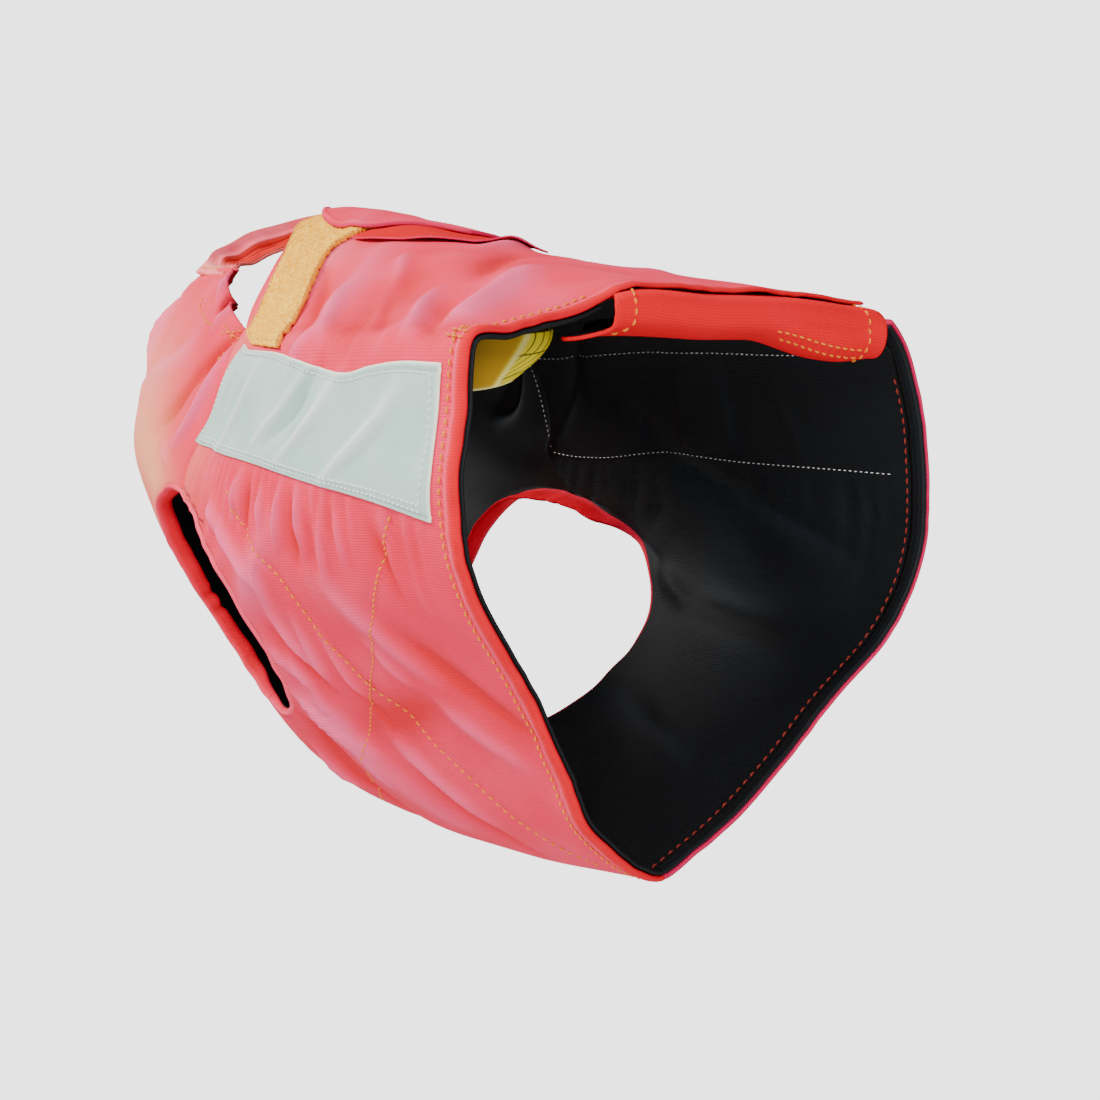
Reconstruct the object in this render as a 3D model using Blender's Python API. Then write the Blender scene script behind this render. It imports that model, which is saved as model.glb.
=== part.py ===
"""Hollow protective vest for a dog, filled out as it is worn, with no wearer in it.

Metres, +Z up, head towards -Y, tail towards +Y, the dog's left side towards +X.
The origin is on the underside of the back, where the dog carries the vest.

The cloth follows one tube.  A point on it has two parameters: u runs round the body,
0 on the back's midline, +1 and -1 on the belly's, positive on the left side, and v runs
from the rear hem (0) to the neck (1).  Each piece is a region of that tube with a
thickness, at its own depth under (-) or over (+) the outer face.
"""
import bpy
import bmesh
import numpy as np

MM = 0.001

# ---------------------------------------------------------------- driving dimensions
SHELL = 2.0 * MM            # outer cloth
LINING = 1.2 * MM           # black lining
TRIM = 1.0 * MM             # reflective band, label tape
LOOP_TAPE = 1.8 * MM        # woolly fastener strip
STRAP = 2.2 * MM            # collar strap and its tab
SEAM = 0.3 * MM             # clearance between two pieces
UNIT_U = 0.36               # about as many metres in one unit of u
UNIT_V = 0.42               # about as many metres in one unit of v
GAP_U = 0.5 * SEAM / UNIT_U * 1.6
GAP_V = 0.5 * SEAM / UNIT_V * 1.6

# Rings along the vest.  top and low are the ring's points on the back's and the belly's
# midlines, left and right its half widths, dip how far its sides are drawn back and down,
# peak and keel how far the upper and lower halves have changed from the rear ring's
# profile to the neck's, and throat how much the front narrows.
STATION_COLUMNS = ("v", "top_y", "top_z", "low_y", "low_z", "left", "right",
                   "dip_y", "dip_z", "peak", "keel", "throat")
STATIONS = np.array([
    (0.00, 0.164, -0.020, 0.148, -0.264, 0.115, 0.143, 0.006, 0.000, 0.00, 0.00, 0.00),
    (0.16, 0.098, -0.011, 0.070, -0.278, 0.119, 0.140, 0.002, 0.000, 0.14, 0.12, 0.00),
    (0.33, 0.035, -0.002, -0.020, -0.288, 0.119, 0.134, 0.000, 0.000, 0.30, 0.32, 0.00),
    (0.50, -0.020, 0.007, -0.106, -0.283, 0.116, 0.126, 0.004, -0.006, 0.50, 0.52, 0.00),
    (0.66, -0.065, 0.015, -0.185, -0.230, 0.110, 0.115, 0.020, -0.014, 0.70, 0.72, 0.00),
    (0.82, -0.102, 0.020, -0.255, -0.138, 0.101, 0.102, 0.036, -0.016, 0.86, 0.88, 0.04),
    (0.91, -0.119, 0.021, -0.268, -0.068, 0.093, 0.093, 0.040, -0.012, 0.93, 0.94, 0.20),
    (1.00, -0.135, 0.0215, -0.245, 0.000, 0.080, 0.080, 0.040, -0.006, 1.00, 1.00, 0.42),
])

# Half of a ring, from the back to the belly: fall is the part of the ring's height that
# the point lies below its top, out the part of the half width that it stands out.
PROFILE_COLUMNS = ("u", "left_fall", "left_out", "right_fall", "right_out",
                   "neck_fall", "neck_out")
PROFILE = np.array([
    (0.00, 0.000, 0.000, 0.000, 0.000, 0.000, 0.000),
    (0.12, 0.000, 0.340, 0.000, 0.280, 0.040, 0.280),
    (0.21, 0.040, 0.580, 0.008, 0.480, 0.105, 0.500),
    (0.29, 0.062, 0.820, 0.025, 0.670, 0.215, 0.680),
    (0.35, 0.085, 0.985, 0.080, 0.785, 0.310, 0.800),
    (0.40, 0.190, 1.000, 0.185, 0.880, 0.390, 0.880),
    (0.49, 0.320, 1.010, 0.320, 0.955, 0.500, 0.980),
    (0.58, 0.460, 0.910, 0.460, 1.000, 0.610, 1.000),
    (0.66, 0.590, 0.720, 0.590, 0.935, 0.710, 0.930),
    (0.78, 0.760, 0.505, 0.760, 0.615, 0.830, 0.660),
    (0.88, 0.890, 0.345, 0.890, 0.360, 0.935, 0.360),
    (0.95, 0.972, 0.140, 0.972, 0.120, 0.985, 0.140),
    (1.00, 1.000, 0.000, 1.000, 0.000, 1.000, 0.000),
])
DIP_U, DIP_WIDTH = 0.42, 0.20       # where round the ring its sides are drawn back
HALVES = (0.36, 0.56)               # u where the upper half blends into the lower
THROAT = (0.27, 0.47)               # u over which the throat narrows

# The largest folds, each a soft ridge (+) or trough (-) between two points of the tube.
FOLD_COLUMNS = ("u0", "v0", "u1", "v1", "half_width", "height")
FOLDS = np.array([
    (0.10, 0.66, 0.34, 0.44, 0.030, 0.0030),
    (0.12, 0.50, 0.33, 0.30, 0.026, 0.0026),
    (0.15, 0.35, 0.36, 0.18, 0.028, -0.0028),
    (0.52, 0.30, 0.62, 0.42, 0.022, 0.0026),
    (0.72, 0.38, 0.90, 0.22, 0.026, 0.0030),
    (0.82, 0.40, 0.97, 0.33, 0.022, -0.0036),
    (0.78, 0.30, 0.70, 0.12, 0.030, -0.0026),
    (-0.60, 0.30, -0.72, 0.14, 0.030, 0.0034),
    (-0.70, 0.28, -0.86, 0.16, 0.026, -0.0030),
    (-0.42, 0.42, -0.60, 0.22, 0.026, 0.0026),
    (0.55, 0.86, 0.70, 0.74, 0.030, 0.0030),
    (-0.56, 0.84, -0.72, 0.72, 0.030, 0.0030),
    (0.84, 0.90, 0.92, 0.66, 0.040, -0.0026),
    (-0.90, 0.88, -0.84, 0.62, 0.036, 0.0026),
])

# Leg holes: centre, half length round the body, half width along it, and lean.
HOLE_COLUMNS = ("u", "v", "half_u", "half_v", "lean")
LEFT_HOLE = (0.655, 0.560, 0.150, 0.130, -0.040)
RIGHT_HOLE = (0.700, 0.495, 0.155, 0.150, -0.060)
BINDING_HALF = 2.6 * MM             # half of the rolled edge's width and depth
FACING = 3.2 * MM                   # half as much again the binding goes in at the front
BINDING_ROOM_U = (BINDING_HALF + 2 * SEAM) / 0.34
BINDING_ROOM_V = (BINDING_HALF + 2 * SEAM) / 0.34

# Front edge of a side panel: from the nape down the neck edge to the neck corner, then
# down the seam to the leg hole's top.
NECK_EDGE = np.array([(0.00, 1.000), (0.08, 0.950), (0.14, 0.870), (0.20, 0.800),
                      (0.25, 0.745), (0.30, 0.700)])
CORNER_SEAM = np.array([(0.30, 0.700), (0.34, 0.650), (0.385, 0.625), (0.43, 0.622),
                        (0.47, 0.625)])
# Top edge of the chest panel, from the neck corner to the throat.
THROAT_EDGE = np.array([(0.30, 0.700), (0.32, 0.800), (0.35, 0.890), (0.40, 0.950),
                        (0.48, 0.970), (0.60, 0.970), (0.78, 0.950), (1.00, 0.920)])
CORNER_U = 0.30

# Where a thread of the cloth that meets the front edge at u starts on the rear hem.
LEFT_THREADS = np.array([(-0.27, -0.27), (0.13, 0.13), (0.30, 0.345), (0.318, 0.378),
                         (0.425, 0.512), (0.50, 0.600), (0.81, 0.870), (1.00, 1.00)])
RIGHT_THREADS = np.array([(-0.13, -0.13), (0.30, 0.30), (0.335, 0.363), (0.500, 0.500),
                          (0.54, 0.56), (0.86, 0.880), (1.00, 1.00)])
LEFT_COLUMNS = (-0.27, -0.20, -0.12, -0.08, -0.04, 0.00, 0.04, 0.07, 0.13, 0.175, 0.22,
                0.26, 0.2994, 0.308, 0.318, 0.345, 0.372, 0.398, 0.425, 0.46)
RIGHT_COLUMNS = (-0.13, -0.07, -0.04, 0.00, 0.04, 0.08, 0.12, 0.20, 0.27, 0.2994, 0.308,
                 0.335, 0.37, 0.41, 0.455, 0.500)
ROWS = np.array((0.0, 0.045, 0.13, 0.22, 0.31, 0.40, 0.49, 0.58, 0.66, 0.74, 0.82, 0.89,
                 0.95, 1.0))
CHEST_ROWS = 11
HOLE_COLUMN_COUNT = 13
BAND_ROWS = (1, 12)                 # rows of the cloth between which a band lies
STRIP_ROWS = (8, 12)                # and the same for the woolly strip
LEFT_BAND_U, RIGHT_BAND_U = (0.318, 0.425), (-0.335, -0.500)
STRIP_U = (0.07, 0.2994)
TAB_U, TAB_ROWS = (-0.12, 0.04), (6, 13)
TAB_LIFT = 3.4 * MM                 # how far the tab's front left corner stands up

# Edges of the pieces
RIGHT_EDGE_U = 0.130                # edge of the right panel, tucked under the left one
TUCK = (0.300, 0.385)               # right side u over which its panel goes under
TUCK_DEPTH = SHELL + 2.5 * SEAM
HEM_V = 0.012                       # rolled rear hem
BELLY_V = 0.42                      # where the chest panel ends on the belly
ROLL_V = 0.034                      # where the right flap's rolled end begins

# Section of the right flap's rolled end, tailward and up from the rear ring's outer face.
# lower is how far a point belongs to the lower wall, slant how far it shares in the slant
# of that wall's left end.
ROLL_COLUMNS = ("y_mm", "z_mm", "lower", "slant")
ROLL = np.array([
    (-13.6, -4.0, 0.00, 0.0), (-6.0, -3.9, 0.00, 0.0), (1.0, -4.0, 0.00, 0.0),
    (6.0, -6.2, 0.10, 0.1), (8.0, -10.5, 0.45, 0.4), (6.0, -15.5, 0.80, 0.8),
    (0.0, -18.6, 1.00, 1.0), (-8.0, -19.0, 1.00, 0.9), (-16.0, -17.2, 1.00, 0.3),
    (-23.0, -14.0, 1.00, 0.0),
])
ROLL_U = (0.126, -0.300)
LOBE_DROP = 8.0 * MM                # how much lower the roll hangs at its right end
ROLL_SLANT = 26.0 * MM              # how far its lower wall sticks out at its left end

# Collar strap, from the throat round the right side of the neck to the nape: its outer
# edge, its inner edge and how far it arches between them.
STRAP_COLUMNS = ("outer_x", "outer_y", "outer_z", "inner_x", "inner_y", "inner_z", "arch_mm")
STRAP_TABLE = np.array([
    (0.052, -0.190, -0.003, 0.048, -0.158, -0.006, 2.0),
    (0.040, -0.208, 0.0035, 0.036, -0.180, -0.0035, 2.5),
    (0.024, -0.222, 0.009, 0.022, -0.194, -0.002, 3.0),
    (0.008, -0.229, 0.0165, 0.006, -0.206, 0.004, 3.0),
    (-0.010, -0.230, 0.022, -0.012, -0.214, 0.0095, 2.5),
    (-0.027, -0.222, 0.0275, -0.027, -0.212, 0.014, 2.0),
    (-0.038, -0.204, 0.030, -0.042, -0.198, 0.017, 2.0),
    (-0.036, -0.184, 0.029, -0.048, -0.178, 0.016, 2.0),
    (-0.024, -0.164, 0.0275, -0.047, -0.158, 0.015, 2.0),
    (-0.007, -0.148, 0.0255, -0.038, -0.140, 0.0165, 1.0),
    (0.0075, -0.1375, 0.0245, -0.027, -0.1235, 0.0195, 0.0),
])

# Middle line of the folded label tape, seen from above, and its upper edge's height.
LABEL_COLUMNS = ("x", "y", "top_z")
LABEL = np.array([
    (0.1060, 0.1420, -0.0405), (0.0940, 0.1370, -0.0400), (0.0800, 0.1350, -0.0390),
    (0.0690, 0.1350, -0.0380), (0.0625, 0.1375, -0.0370), (0.0600, 0.1420, -0.0365),
    (0.0625, 0.1465, -0.0370), (0.0690, 0.1490, -0.0380), (0.0800, 0.1490, -0.0390),
    (0.0940, 0.1490, -0.0400), (0.1050, 0.1490, -0.0405),
])
LABEL_HEIGHT = 20.0 * MM

COLOURS = {
    "outer_cloth": (0.80, 0.13, 0.15, 0.85),
    "red_binding": (0.75, 0.02, 0.02, 0.75),
    "lining_cloth": (0.012, 0.014, 0.018, 0.70),
    "reflective_cloth": (0.48, 0.58, 0.56, 0.45),
    "loop_fastener": (0.72, 0.50, 0.18, 0.95),
    "label_tape": (0.45, 0.36, 0.02, 0.60),
}


# ---------------------------------------------------------------- the tube
def cubic(knots, values, x):
    """Smooth curve through the rows of values, one row a knot."""
    x = np.clip(x, knots[0], knots[-1])
    slopes = np.gradient(values, knots, axis=0)
    i = np.clip(np.searchsorted(knots, x, side="right") - 1, 0, len(knots) - 2)
    width = (knots[i + 1] - knots[i])[..., None]
    t = (x - knots[i])[..., None] / width
    a, b = values[i], values[i + 1]
    da, db = slopes[i] * width, slopes[i + 1] * width
    return ((2 * t**3 - 3 * t**2 + 1) * a + (t**3 - 2 * t**2 + t) * da
            + (3 * t**2 - 2 * t**3) * b + (t**3 - t**2) * db)


def ease(x, start, end):
    """0 before start, 1 after end, smooth between."""
    t = np.clip((x - start) / (end - start), 0.0, 1.0)
    return t * t * (3.0 - 2.0 * t)


def full_ring():
    """The profile with its mirror images before the back and after the belly."""
    mirror = np.array((-1, 1, -1, 1, -1, 1, -1))
    before = PROFILE[:0:-1] * mirror
    after = PROFILE[-2::-1] * mirror
    after[:, 0] += 2.0
    return np.vstack((before, PROFILE, after))


RING = full_ring()


def base(u, v):
    """The tube's outer face without its folds."""
    u, v = np.broadcast_arrays(np.asarray(u, float), np.asarray(v, float))
    top_y, top_z, low_y, low_z, left, right, dip_y, dip_z, peak, keel, throat = \
        np.moveaxis(cubic(STATIONS[:, 0], STATIONS[:, 1:], v), -1, 0)
    around = np.abs(u)
    lf, lo, rf, ro, nf, no = np.moveaxis(cubic(RING[:, 0], RING[:, 1:], around), -1, 0)
    on_left = u >= 0
    lower = ease(around, *HALVES)
    change = peak * (1 - lower) + keel * lower
    fall = np.where(on_left, lf, rf) * (1 - change) + nf * change
    out = np.where(on_left, lo, ro) * (1 - change) + no * change
    out = out * (1 - throat * ease(around, *THROAT))
    half = np.where(on_left, left, right)
    dip = np.exp(-((around - DIP_U) / DIP_WIDTH) ** 2)
    return np.stack((np.sign(u) * half * out,
                     top_y + (low_y - top_y) * fall + dip_y * dip,
                     top_z + (low_z - top_z) * fall + dip_z * dip), axis=-1)


def unit(vectors):
    """Vectors of length one."""
    return vectors / np.linalg.norm(vectors, axis=-1, keepdims=True)


def outward(u, v):
    """Direction straight out of the tube."""
    step = 0.012
    v = np.clip(v, step, 1 - step)
    round_body = base(u + step, v) - base(u - step, v)
    along = base(u, v + step) - base(u, v - step)
    return unit(np.cross(along, round_body))


def folds(u, v):
    """Height of the folds at a point of the tube."""
    u, v = np.broadcast_arrays(np.asarray(u, float), np.asarray(v, float))
    total = np.zeros(u.shape)
    for u0, v0, u1, v1, half_width, height in FOLDS:
        du, dv = u1 - u0, v1 - v0
        t = np.clip(((u - u0) * du + (v - v0) * dv) / (du * du + dv * dv), 0.0, 1.0)
        away = np.hypot(u - u0 - t * du, v - v0 - t * dv)
        ends = 0.35 + 0.65 * np.sin(np.pi * t)
        total += height * ends * np.exp(-(away / half_width) ** 2)
    return total


def skin(u, v, depth=0.0):
    """Points at a depth below (-) or above (+) the outer face."""
    u, v = np.broadcast_arrays(np.asarray(u, float), np.asarray(v, float))
    lift = (folds(u, v) + depth)[..., None]
    return base(u, v) + outward(u, v) * lift


# ---------------------------------------------------------------- solids
def new_object(name, points, faces, slot):
    """One closed body with its own material."""
    mesh = bpy.data.meshes.new(name)
    mesh.from_pydata([tuple(p) for p in points], [], faces)
    body = bmesh.new()
    body.from_mesh(mesh)
    bmesh.ops.remove_doubles(body, verts=body.verts, dist=1e-6)
    bmesh.ops.triangulate(body, faces=body.faces)
    bmesh.ops.recalc_face_normals(body, faces=body.faces)
    body.to_mesh(mesh)
    body.free()
    mesh.polygons.foreach_set("use_smooth", [True] * len(mesh.polygons))
    red, green, blue, rough = COLOURS[slot]
    material = bpy.data.materials.new(name + "_" + slot)
    material.use_nodes = True
    shader = material.node_tree.nodes["Principled BSDF"]
    shader.inputs["Base Color"].default_value = (red, green, blue, 1.0)
    shader.inputs["Roughness"].default_value = rough
    mesh.materials.append(material)
    obj = bpy.data.objects.new(name, mesh)
    bpy.context.scene.collection.objects.link(obj)
    return obj


def sheet(name, outer, inner, slot):
    """A wall between two grids of points of the same shape."""
    rows, columns = outer.shape[:2]
    count = rows * columns
    index = np.arange(count).reshape(rows, columns)
    faces = []
    for i in range(rows - 1):
        for j in range(columns - 1):
            a, b, c, d = (int(k) for k in (index[i, j], index[i + 1, j],
                                           index[i + 1, j + 1], index[i, j + 1]))
            for corner in ((a, b, c), (a, c, d)):
                faces.append(corner)
                faces.append(tuple(k + count for k in reversed(corner)))
    rim = (list(index[0, :]) + list(index[1:, -1]) + list(index[-1, -2::-1])
           + list(index[-2:0:-1, 0]))
    for a, b in zip(rim, rim[1:] + rim[:1]):
        faces.append([int(a), int(b), int(b) + count, int(a) + count])
    points = np.vstack((outer.reshape(-1, 3), inner.reshape(-1, 3)))
    return new_object(name, points, faces, slot)


def tube(name, sections, slot, closed):
    """A bar through rings of points, its ends capped unless it closes on itself."""
    count, sides = sections.shape[:2]
    index = np.arange(count * sides).reshape(count, sides)
    faces = []
    for i in range(count if closed else count - 1):
        a, b = index[i], index[(i + 1) % count]
        for j in range(sides):
            k = (j + 1) % sides
            faces.append([int(a[j]), int(a[k]), int(b[k]), int(b[j])])
    if not closed:
        faces.append([int(j) for j in index[0][::-1]])
        faces.append([int(j) for j in index[-1]])
    return new_object(name, sections.reshape(-1, 3), faces, slot)


def along_threads(columns, threads, v_end, v_start, side):
    """Grid of parameters on threads that run from the rear hem to the front edge."""
    t = ROWS[:, None]
    rear = side * np.interp(side * columns, threads[:, 0], threads[:, 1])
    u = rear + (columns - rear) * t
    return u, v_start(columns) + (v_end(columns) - v_start(columns)) * t


def wall(name, grid, top_depth, thickness, slot):
    """A piece of the tube from top_depth down by its thickness."""
    u, v = grid
    depth = top_depth(u, v) if callable(top_depth) else top_depth
    return sheet(name, skin(u, v, depth), skin(u, v, depth - thickness), slot)


def span(start, end, count):
    """Evenly spaced values."""
    return np.linspace(start, end, count)


def level(value):
    """An edge along the same v all round."""
    return lambda u: np.full(np.shape(u), value)


# ---------------------------------------------------------------- edges of the cut
def through(table, x):
    """A smooth edge through a table's points."""
    return cubic(table[:, 0], table[:, 1:], np.asarray(x, float))[..., 0]


def hole_edge(around, hole, side):
    """v of the cut along a leg hole's rear (-1) or front (+1) edge."""
    u0, v0, half_u, half_v, lean = hole
    cosine = np.clip((around - u0) / (half_u + BINDING_ROOM_U), -1.0, 1.0)
    sine = np.sqrt(1.0 - cosine ** 2)
    return v0 + lean * cosine + side * (half_v + BINDING_ROOM_V) * sine


def hole_ends(hole):
    """u where the cut for a leg hole begins and ends."""
    return hole[0] - hole[2] - BINDING_ROOM_U, hole[0] + hole[2] + BINDING_ROOM_U


def seam_line(around, hole, side):
    """v of the line between side and chest panels, along the hole's given edge."""
    first, last = hole_ends(hole)
    upper_v, lower_v = hole[1] - hole[4], hole[1] + hole[4]
    seam = np.vstack((CORNER_SEAM, ((first, upper_v),)))
    under = np.clip((around - last) / (1.0 - last), 0.0, 1.0)
    line = np.where(around < first, through(seam, around), hole_edge(around, hole, side))
    return np.where(around > last, lower_v + (BELLY_V - lower_v) * under, line)


def side_front(hole):
    """Front edge of a side panel."""
    def edge(u):
        around = np.abs(u)
        neck = through(NECK_EDGE, around)
        return np.where(around < CORNER_U, neck,
                        seam_line(around + GAP_U, hole, -1)) - GAP_V
    return edge


def chest_edge(u, lower):
    """Rear (lower) or top edge of the chest panel."""
    around = np.abs(u)
    if not lower:
        return through(THROAT_EDGE, around) - GAP_V
    left = seam_line(around - GAP_U, LEFT_HOLE, 1)
    right = seam_line(around - GAP_U, RIGHT_HOLE, 1)
    return np.where(u > 0, left, right) + GAP_V


def hole_columns(hole, count):
    """Values of u across a leg hole, close together at its ends."""
    first, last = hole_ends(hole)
    angle = np.linspace(0.0, np.pi, count)
    return 0.5 * (first + last) - 0.5 * (last - first) * np.cos(angle)


def side_columns(upper, hole):
    """Values of u of a side panel, from its edge on the back to the belly."""
    across = hole_columns(hole, HOLE_COLUMN_COUNT)
    return np.concatenate((upper, across, span(across[-1], 1.0 - GAP_U, 4)[1:]))


def tuck(u, v):
    """Depth of the right panel, which goes under the left one over the back."""
    return -TUCK_DEPTH * ease(u, -TUCK[1], -TUCK[0])


def right_start(u):
    """Rear edge of the right panel: its flap ends where the roll begins."""
    return HEM_V + 2 * GAP_V + (ROLL_V - HEM_V) * ease(u, -0.345, -0.305)


# ---------------------------------------------------------------- the pieces
def side_grids():
    """Parameters of the left and the right panel."""
    start = level(HEM_V + 2 * GAP_V)
    left = side_columns(LEFT_COLUMNS, LEFT_HOLE)
    right = -side_columns(RIGHT_COLUMNS, RIGHT_HOLE)
    return (along_threads(left, LEFT_THREADS, side_front(LEFT_HOLE), start, 1.0),
            along_threads(right, RIGHT_THREADS, side_front(RIGHT_HOLE), right_start, -1.0))


def cut_columns(grid, first):
    """The grid from the column whose front end is at first."""
    u, v = grid
    keep = np.flatnonzero(np.abs(u[-1] - first) < 1e-6)[0]
    return u[:, keep:], v[:, keep:]


def side_panels(left, right):
    """The outer side panels, which also cover the back, and their linings."""
    wall("left_panel", left, 0.0, SHELL, "outer_cloth")
    wall("right_panel", right, tuck, SHELL, "outer_cloth")
    inner = cut_columns(left, 0.175)
    wall("left_lining", inner, -SHELL - SEAM, LINING, "lining_cloth")
    wall("right_lining", right, lambda u, v: tuck(u, v) - SHELL - SEAM, LINING,
         "lining_cloth")


def wrap(u):
    """Values of u past the belly come back as the right side's."""
    return np.where(u > 1.0, u - 2.0, u)


def chest_half(side_upper, hole):
    """Values of u of half the chest panel, from the neck corner to the belly."""
    upper = np.array([u for u in side_upper if u > CORNER_U])
    across = hole_columns(hole, HOLE_COLUMN_COUNT)
    return np.concatenate((upper, across, span(across[-1], 1.0, 4)[1:]))


def chest_panel():
    """Outer chest panel between the leg holes, from throat to belly, and its lining."""
    left, right = chest_half(LEFT_COLUMNS, LEFT_HOLE), chest_half(RIGHT_COLUMNS, RIGHT_HOLE)
    columns = np.concatenate((left, 2.0 - right[-2::-1]))
    u = wrap(columns)
    t = np.linspace(0.0, 1.0, CHEST_ROWS)[:, None]
    low, high = chest_edge(u, True), chest_edge(u, False)
    grid = np.broadcast_to(u, (CHEST_ROWS, len(u))), low + (high - low) * t
    wall("chest_panel", grid, 0.0, SHELL, "outer_cloth")
    wall("chest_lining", grid, -SHELL - SEAM, LINING, "lining_cloth")


def bar(name, u, v, half_wide, half_deep, centre_depth, slot, closed):
    """A rolled edge along a line of the tube, oval in section."""
    angle = np.linspace(0.0, 2 * np.pi, 9)[:-1]
    centre = skin(u, v, centre_depth)
    if closed:
        run = np.roll(centre, -1, axis=0) - np.roll(centre, 1, axis=0)
    else:
        run = np.gradient(centre, axis=0)
    out = outward(u, v)
    across = unit(np.cross(out, run))
    wide = np.reshape(half_wide, (-1, 1, 1)) * np.cos(angle)[None, :, None]
    deep = np.reshape(half_deep, (-1, 1, 1)) * np.sin(angle)[None, :, None]
    return tube(name, centre[:, None] + across[:, None] * wide + out[:, None] * deep,
                slot, closed)


def leg_bindings():
    """Rolled edges of the leg holes."""
    angle = np.linspace(0.0, 2 * np.pi, 37)[:-1]
    for name, hole, side in (("left_leg_binding", LEFT_HOLE, 1.0),
                             ("right_leg_binding", RIGHT_HOLE, -1.0)):
        u0, v0, half_u, half_v, lean = hole
        u = side * (u0 + half_u * np.cos(angle))
        v = v0 + lean * np.cos(angle) + half_v * np.sin(angle)
        facing = FACING * ease(np.sin(angle), -0.35, 0.55)
        bar(name, u, v, BINDING_HALF, BINDING_HALF + facing,
            -0.5 * (SHELL + LINING) - facing, "red_binding", True)


def rear_hems():
    """Rolled hem of the rear opening, thin where it lies over the tucked flap."""
    half_wide = 0.5 * HEM_V * UNIT_V
    u = np.concatenate((span(-0.27, 0.30, 14), span(0.315, 0.44, 10),
                        span(0.47, 1.0 - GAP_U, 20)))
    thick = ease(u, RIGHT_EDGE_U, RIGHT_EDGE_U + 0.05)
    bar("left_rear_hem", u, np.full(u.shape, 0.5 * HEM_V), half_wide,
        1.1 * MM + 1.3 * MM * thick, -1.0 * MM - 0.75 * MM * thick, "red_binding", False)
    u = np.concatenate((span(-1.0 + GAP_U, -0.47, 20), span(-0.44, -0.345, 8)))
    bar("right_rear_hem", u, np.full(u.shape, 0.5 * HEM_V), half_wide, 2.4 * MM,
        -1.75 * MM, "red_binding", False)


def overlay(name, grid, columns, rows, thickness, slot):
    """A strip on a panel, made of the panel's own points moved out."""
    u, v = grid
    ends = [int(np.argmin(np.abs(u[-1] - column))) for column in columns]
    cut = np.s_[rows[0]:rows[1] + 1, ends[0]:ends[1] + 1]
    return wall(name, (u[cut], v[cut]), SEAM + thickness, thickness, slot)


def plate(name, middle, thickness, slot):
    """A wall of even thickness about a grid of points."""
    across, along = np.gradient(middle, axis=1), np.gradient(middle, axis=0)
    lift = unit(np.cross(across, along)) * 0.5 * thickness
    return sheet(name, middle + lift, middle - lift, slot)


def rear_roll():
    """Rolled rear end of the flap that the right panel sends over the back."""
    u = span(*ROLL_U, 17)[:, None]
    ring = skin(u, 0.0)
    y, z, lower = ROLL[:, 0] * MM, ROLL[:, 1] * MM, ROLL[:, 2]
    lobe = ease(-u, 0.09, 0.24)
    corner = ease(-u, 0.25, 0.30)
    slant = ease(u, 0.02, ROLL_U[0])
    y = y - lower * corner * (y - y.max()) * 0.5
    z = z - lower * lobe * LOBE_DROP * (1 - 0.5 * corner)
    x = ROLL[:, 3] * slant * ROLL_SLANT
    middle = ring + np.stack(np.broadcast_arrays(x, y, z), axis=-1)
    plate("rear_roll", middle, SHELL, "outer_cloth")


def collar_strap():
    """Collar strap, arched a little across."""
    outer, inner, arch = STRAP_TABLE[:, :3], STRAP_TABLE[:, 3:6], STRAP_TABLE[:, 6:] * MM
    knots = np.arange(len(outer), dtype=float)
    fine = span(0.0, knots[-1], 31)
    outer, inner, arch = (cubic(knots, table, fine)[:, None] for table in (outer, inner, arch))
    t = span(0.0, 1.0, 7)[None, :, None]
    flat = outer + (inner - outer) * t
    lift = unit(np.cross(np.gradient(flat, axis=1), np.gradient(flat, axis=0)))
    plate("collar_strap", flat - lift * arch * 4 * t * (1 - t), STRAP, "outer_cloth")


def neck_tab(grid):
    """End of the collar strap, lying on the nape, its left edge lifted."""
    u, v = grid
    first, last = (int(np.argmin(np.abs(u[-1] - column))) for column in TAB_U)
    cut = np.s_[TAB_ROWS[0]:TAB_ROWS[1] + 1, first:last + 1]
    u, v = u[cut], v[cut]
    depth = 2 * SEAM + STRAP + TAB_LIFT * ease(v, 0.78, 0.95) * ease(u, -0.09, 0.03)
    sheet("neck_tab", skin(u, v, depth), skin(u, v, depth - STRAP), "outer_cloth")


def label():
    """Folded tape inside the rear opening's upper left corner."""
    line, top = LABEL[:, :2], LABEL[:, 2:]
    t = span(0.0, 1.0, 3)
    middle = np.stack([np.hstack((line, top - LABEL_HEIGHT * step)) for step in t], axis=1)
    plate("label", middle, TRIM, "label_tape")


def clear_scene():
    """Start from nothing."""
    for obj in list(bpy.data.objects):
        bpy.data.objects.remove(obj, do_unlink=True)


def main():
    clear_scene()
    left, right = side_grids()
    side_panels(left, right)
    chest_panel()
    leg_bindings()
    rear_hems()
    overlay("left_band", left, LEFT_BAND_U, BAND_ROWS, TRIM, "reflective_cloth")
    overlay("right_band", right, RIGHT_BAND_U, BAND_ROWS, TRIM, "reflective_cloth")
    overlay("loop_strip", left, STRIP_U, STRIP_ROWS, LOOP_TAPE, "loop_fastener")
    rear_roll()
    collar_strap()
    neck_tab(left)
    label()


main()
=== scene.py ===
"""Looks of the hollow protective dog vest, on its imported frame.

Metres, +Z up, head towards -Y, the dog's left side towards +X.  As in the construction,
a point of the cloth has two parameters: u runs round the body, 0 on the back's midline
and +1 and -1 on the belly's, positive on the left side, and v runs from the rear hem (0)
to the neck (1).  Most pieces are regions of that tube, each at its own depth.
"""

import bpy
import numpy as np
from mathutils import Matrix, Vector

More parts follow.
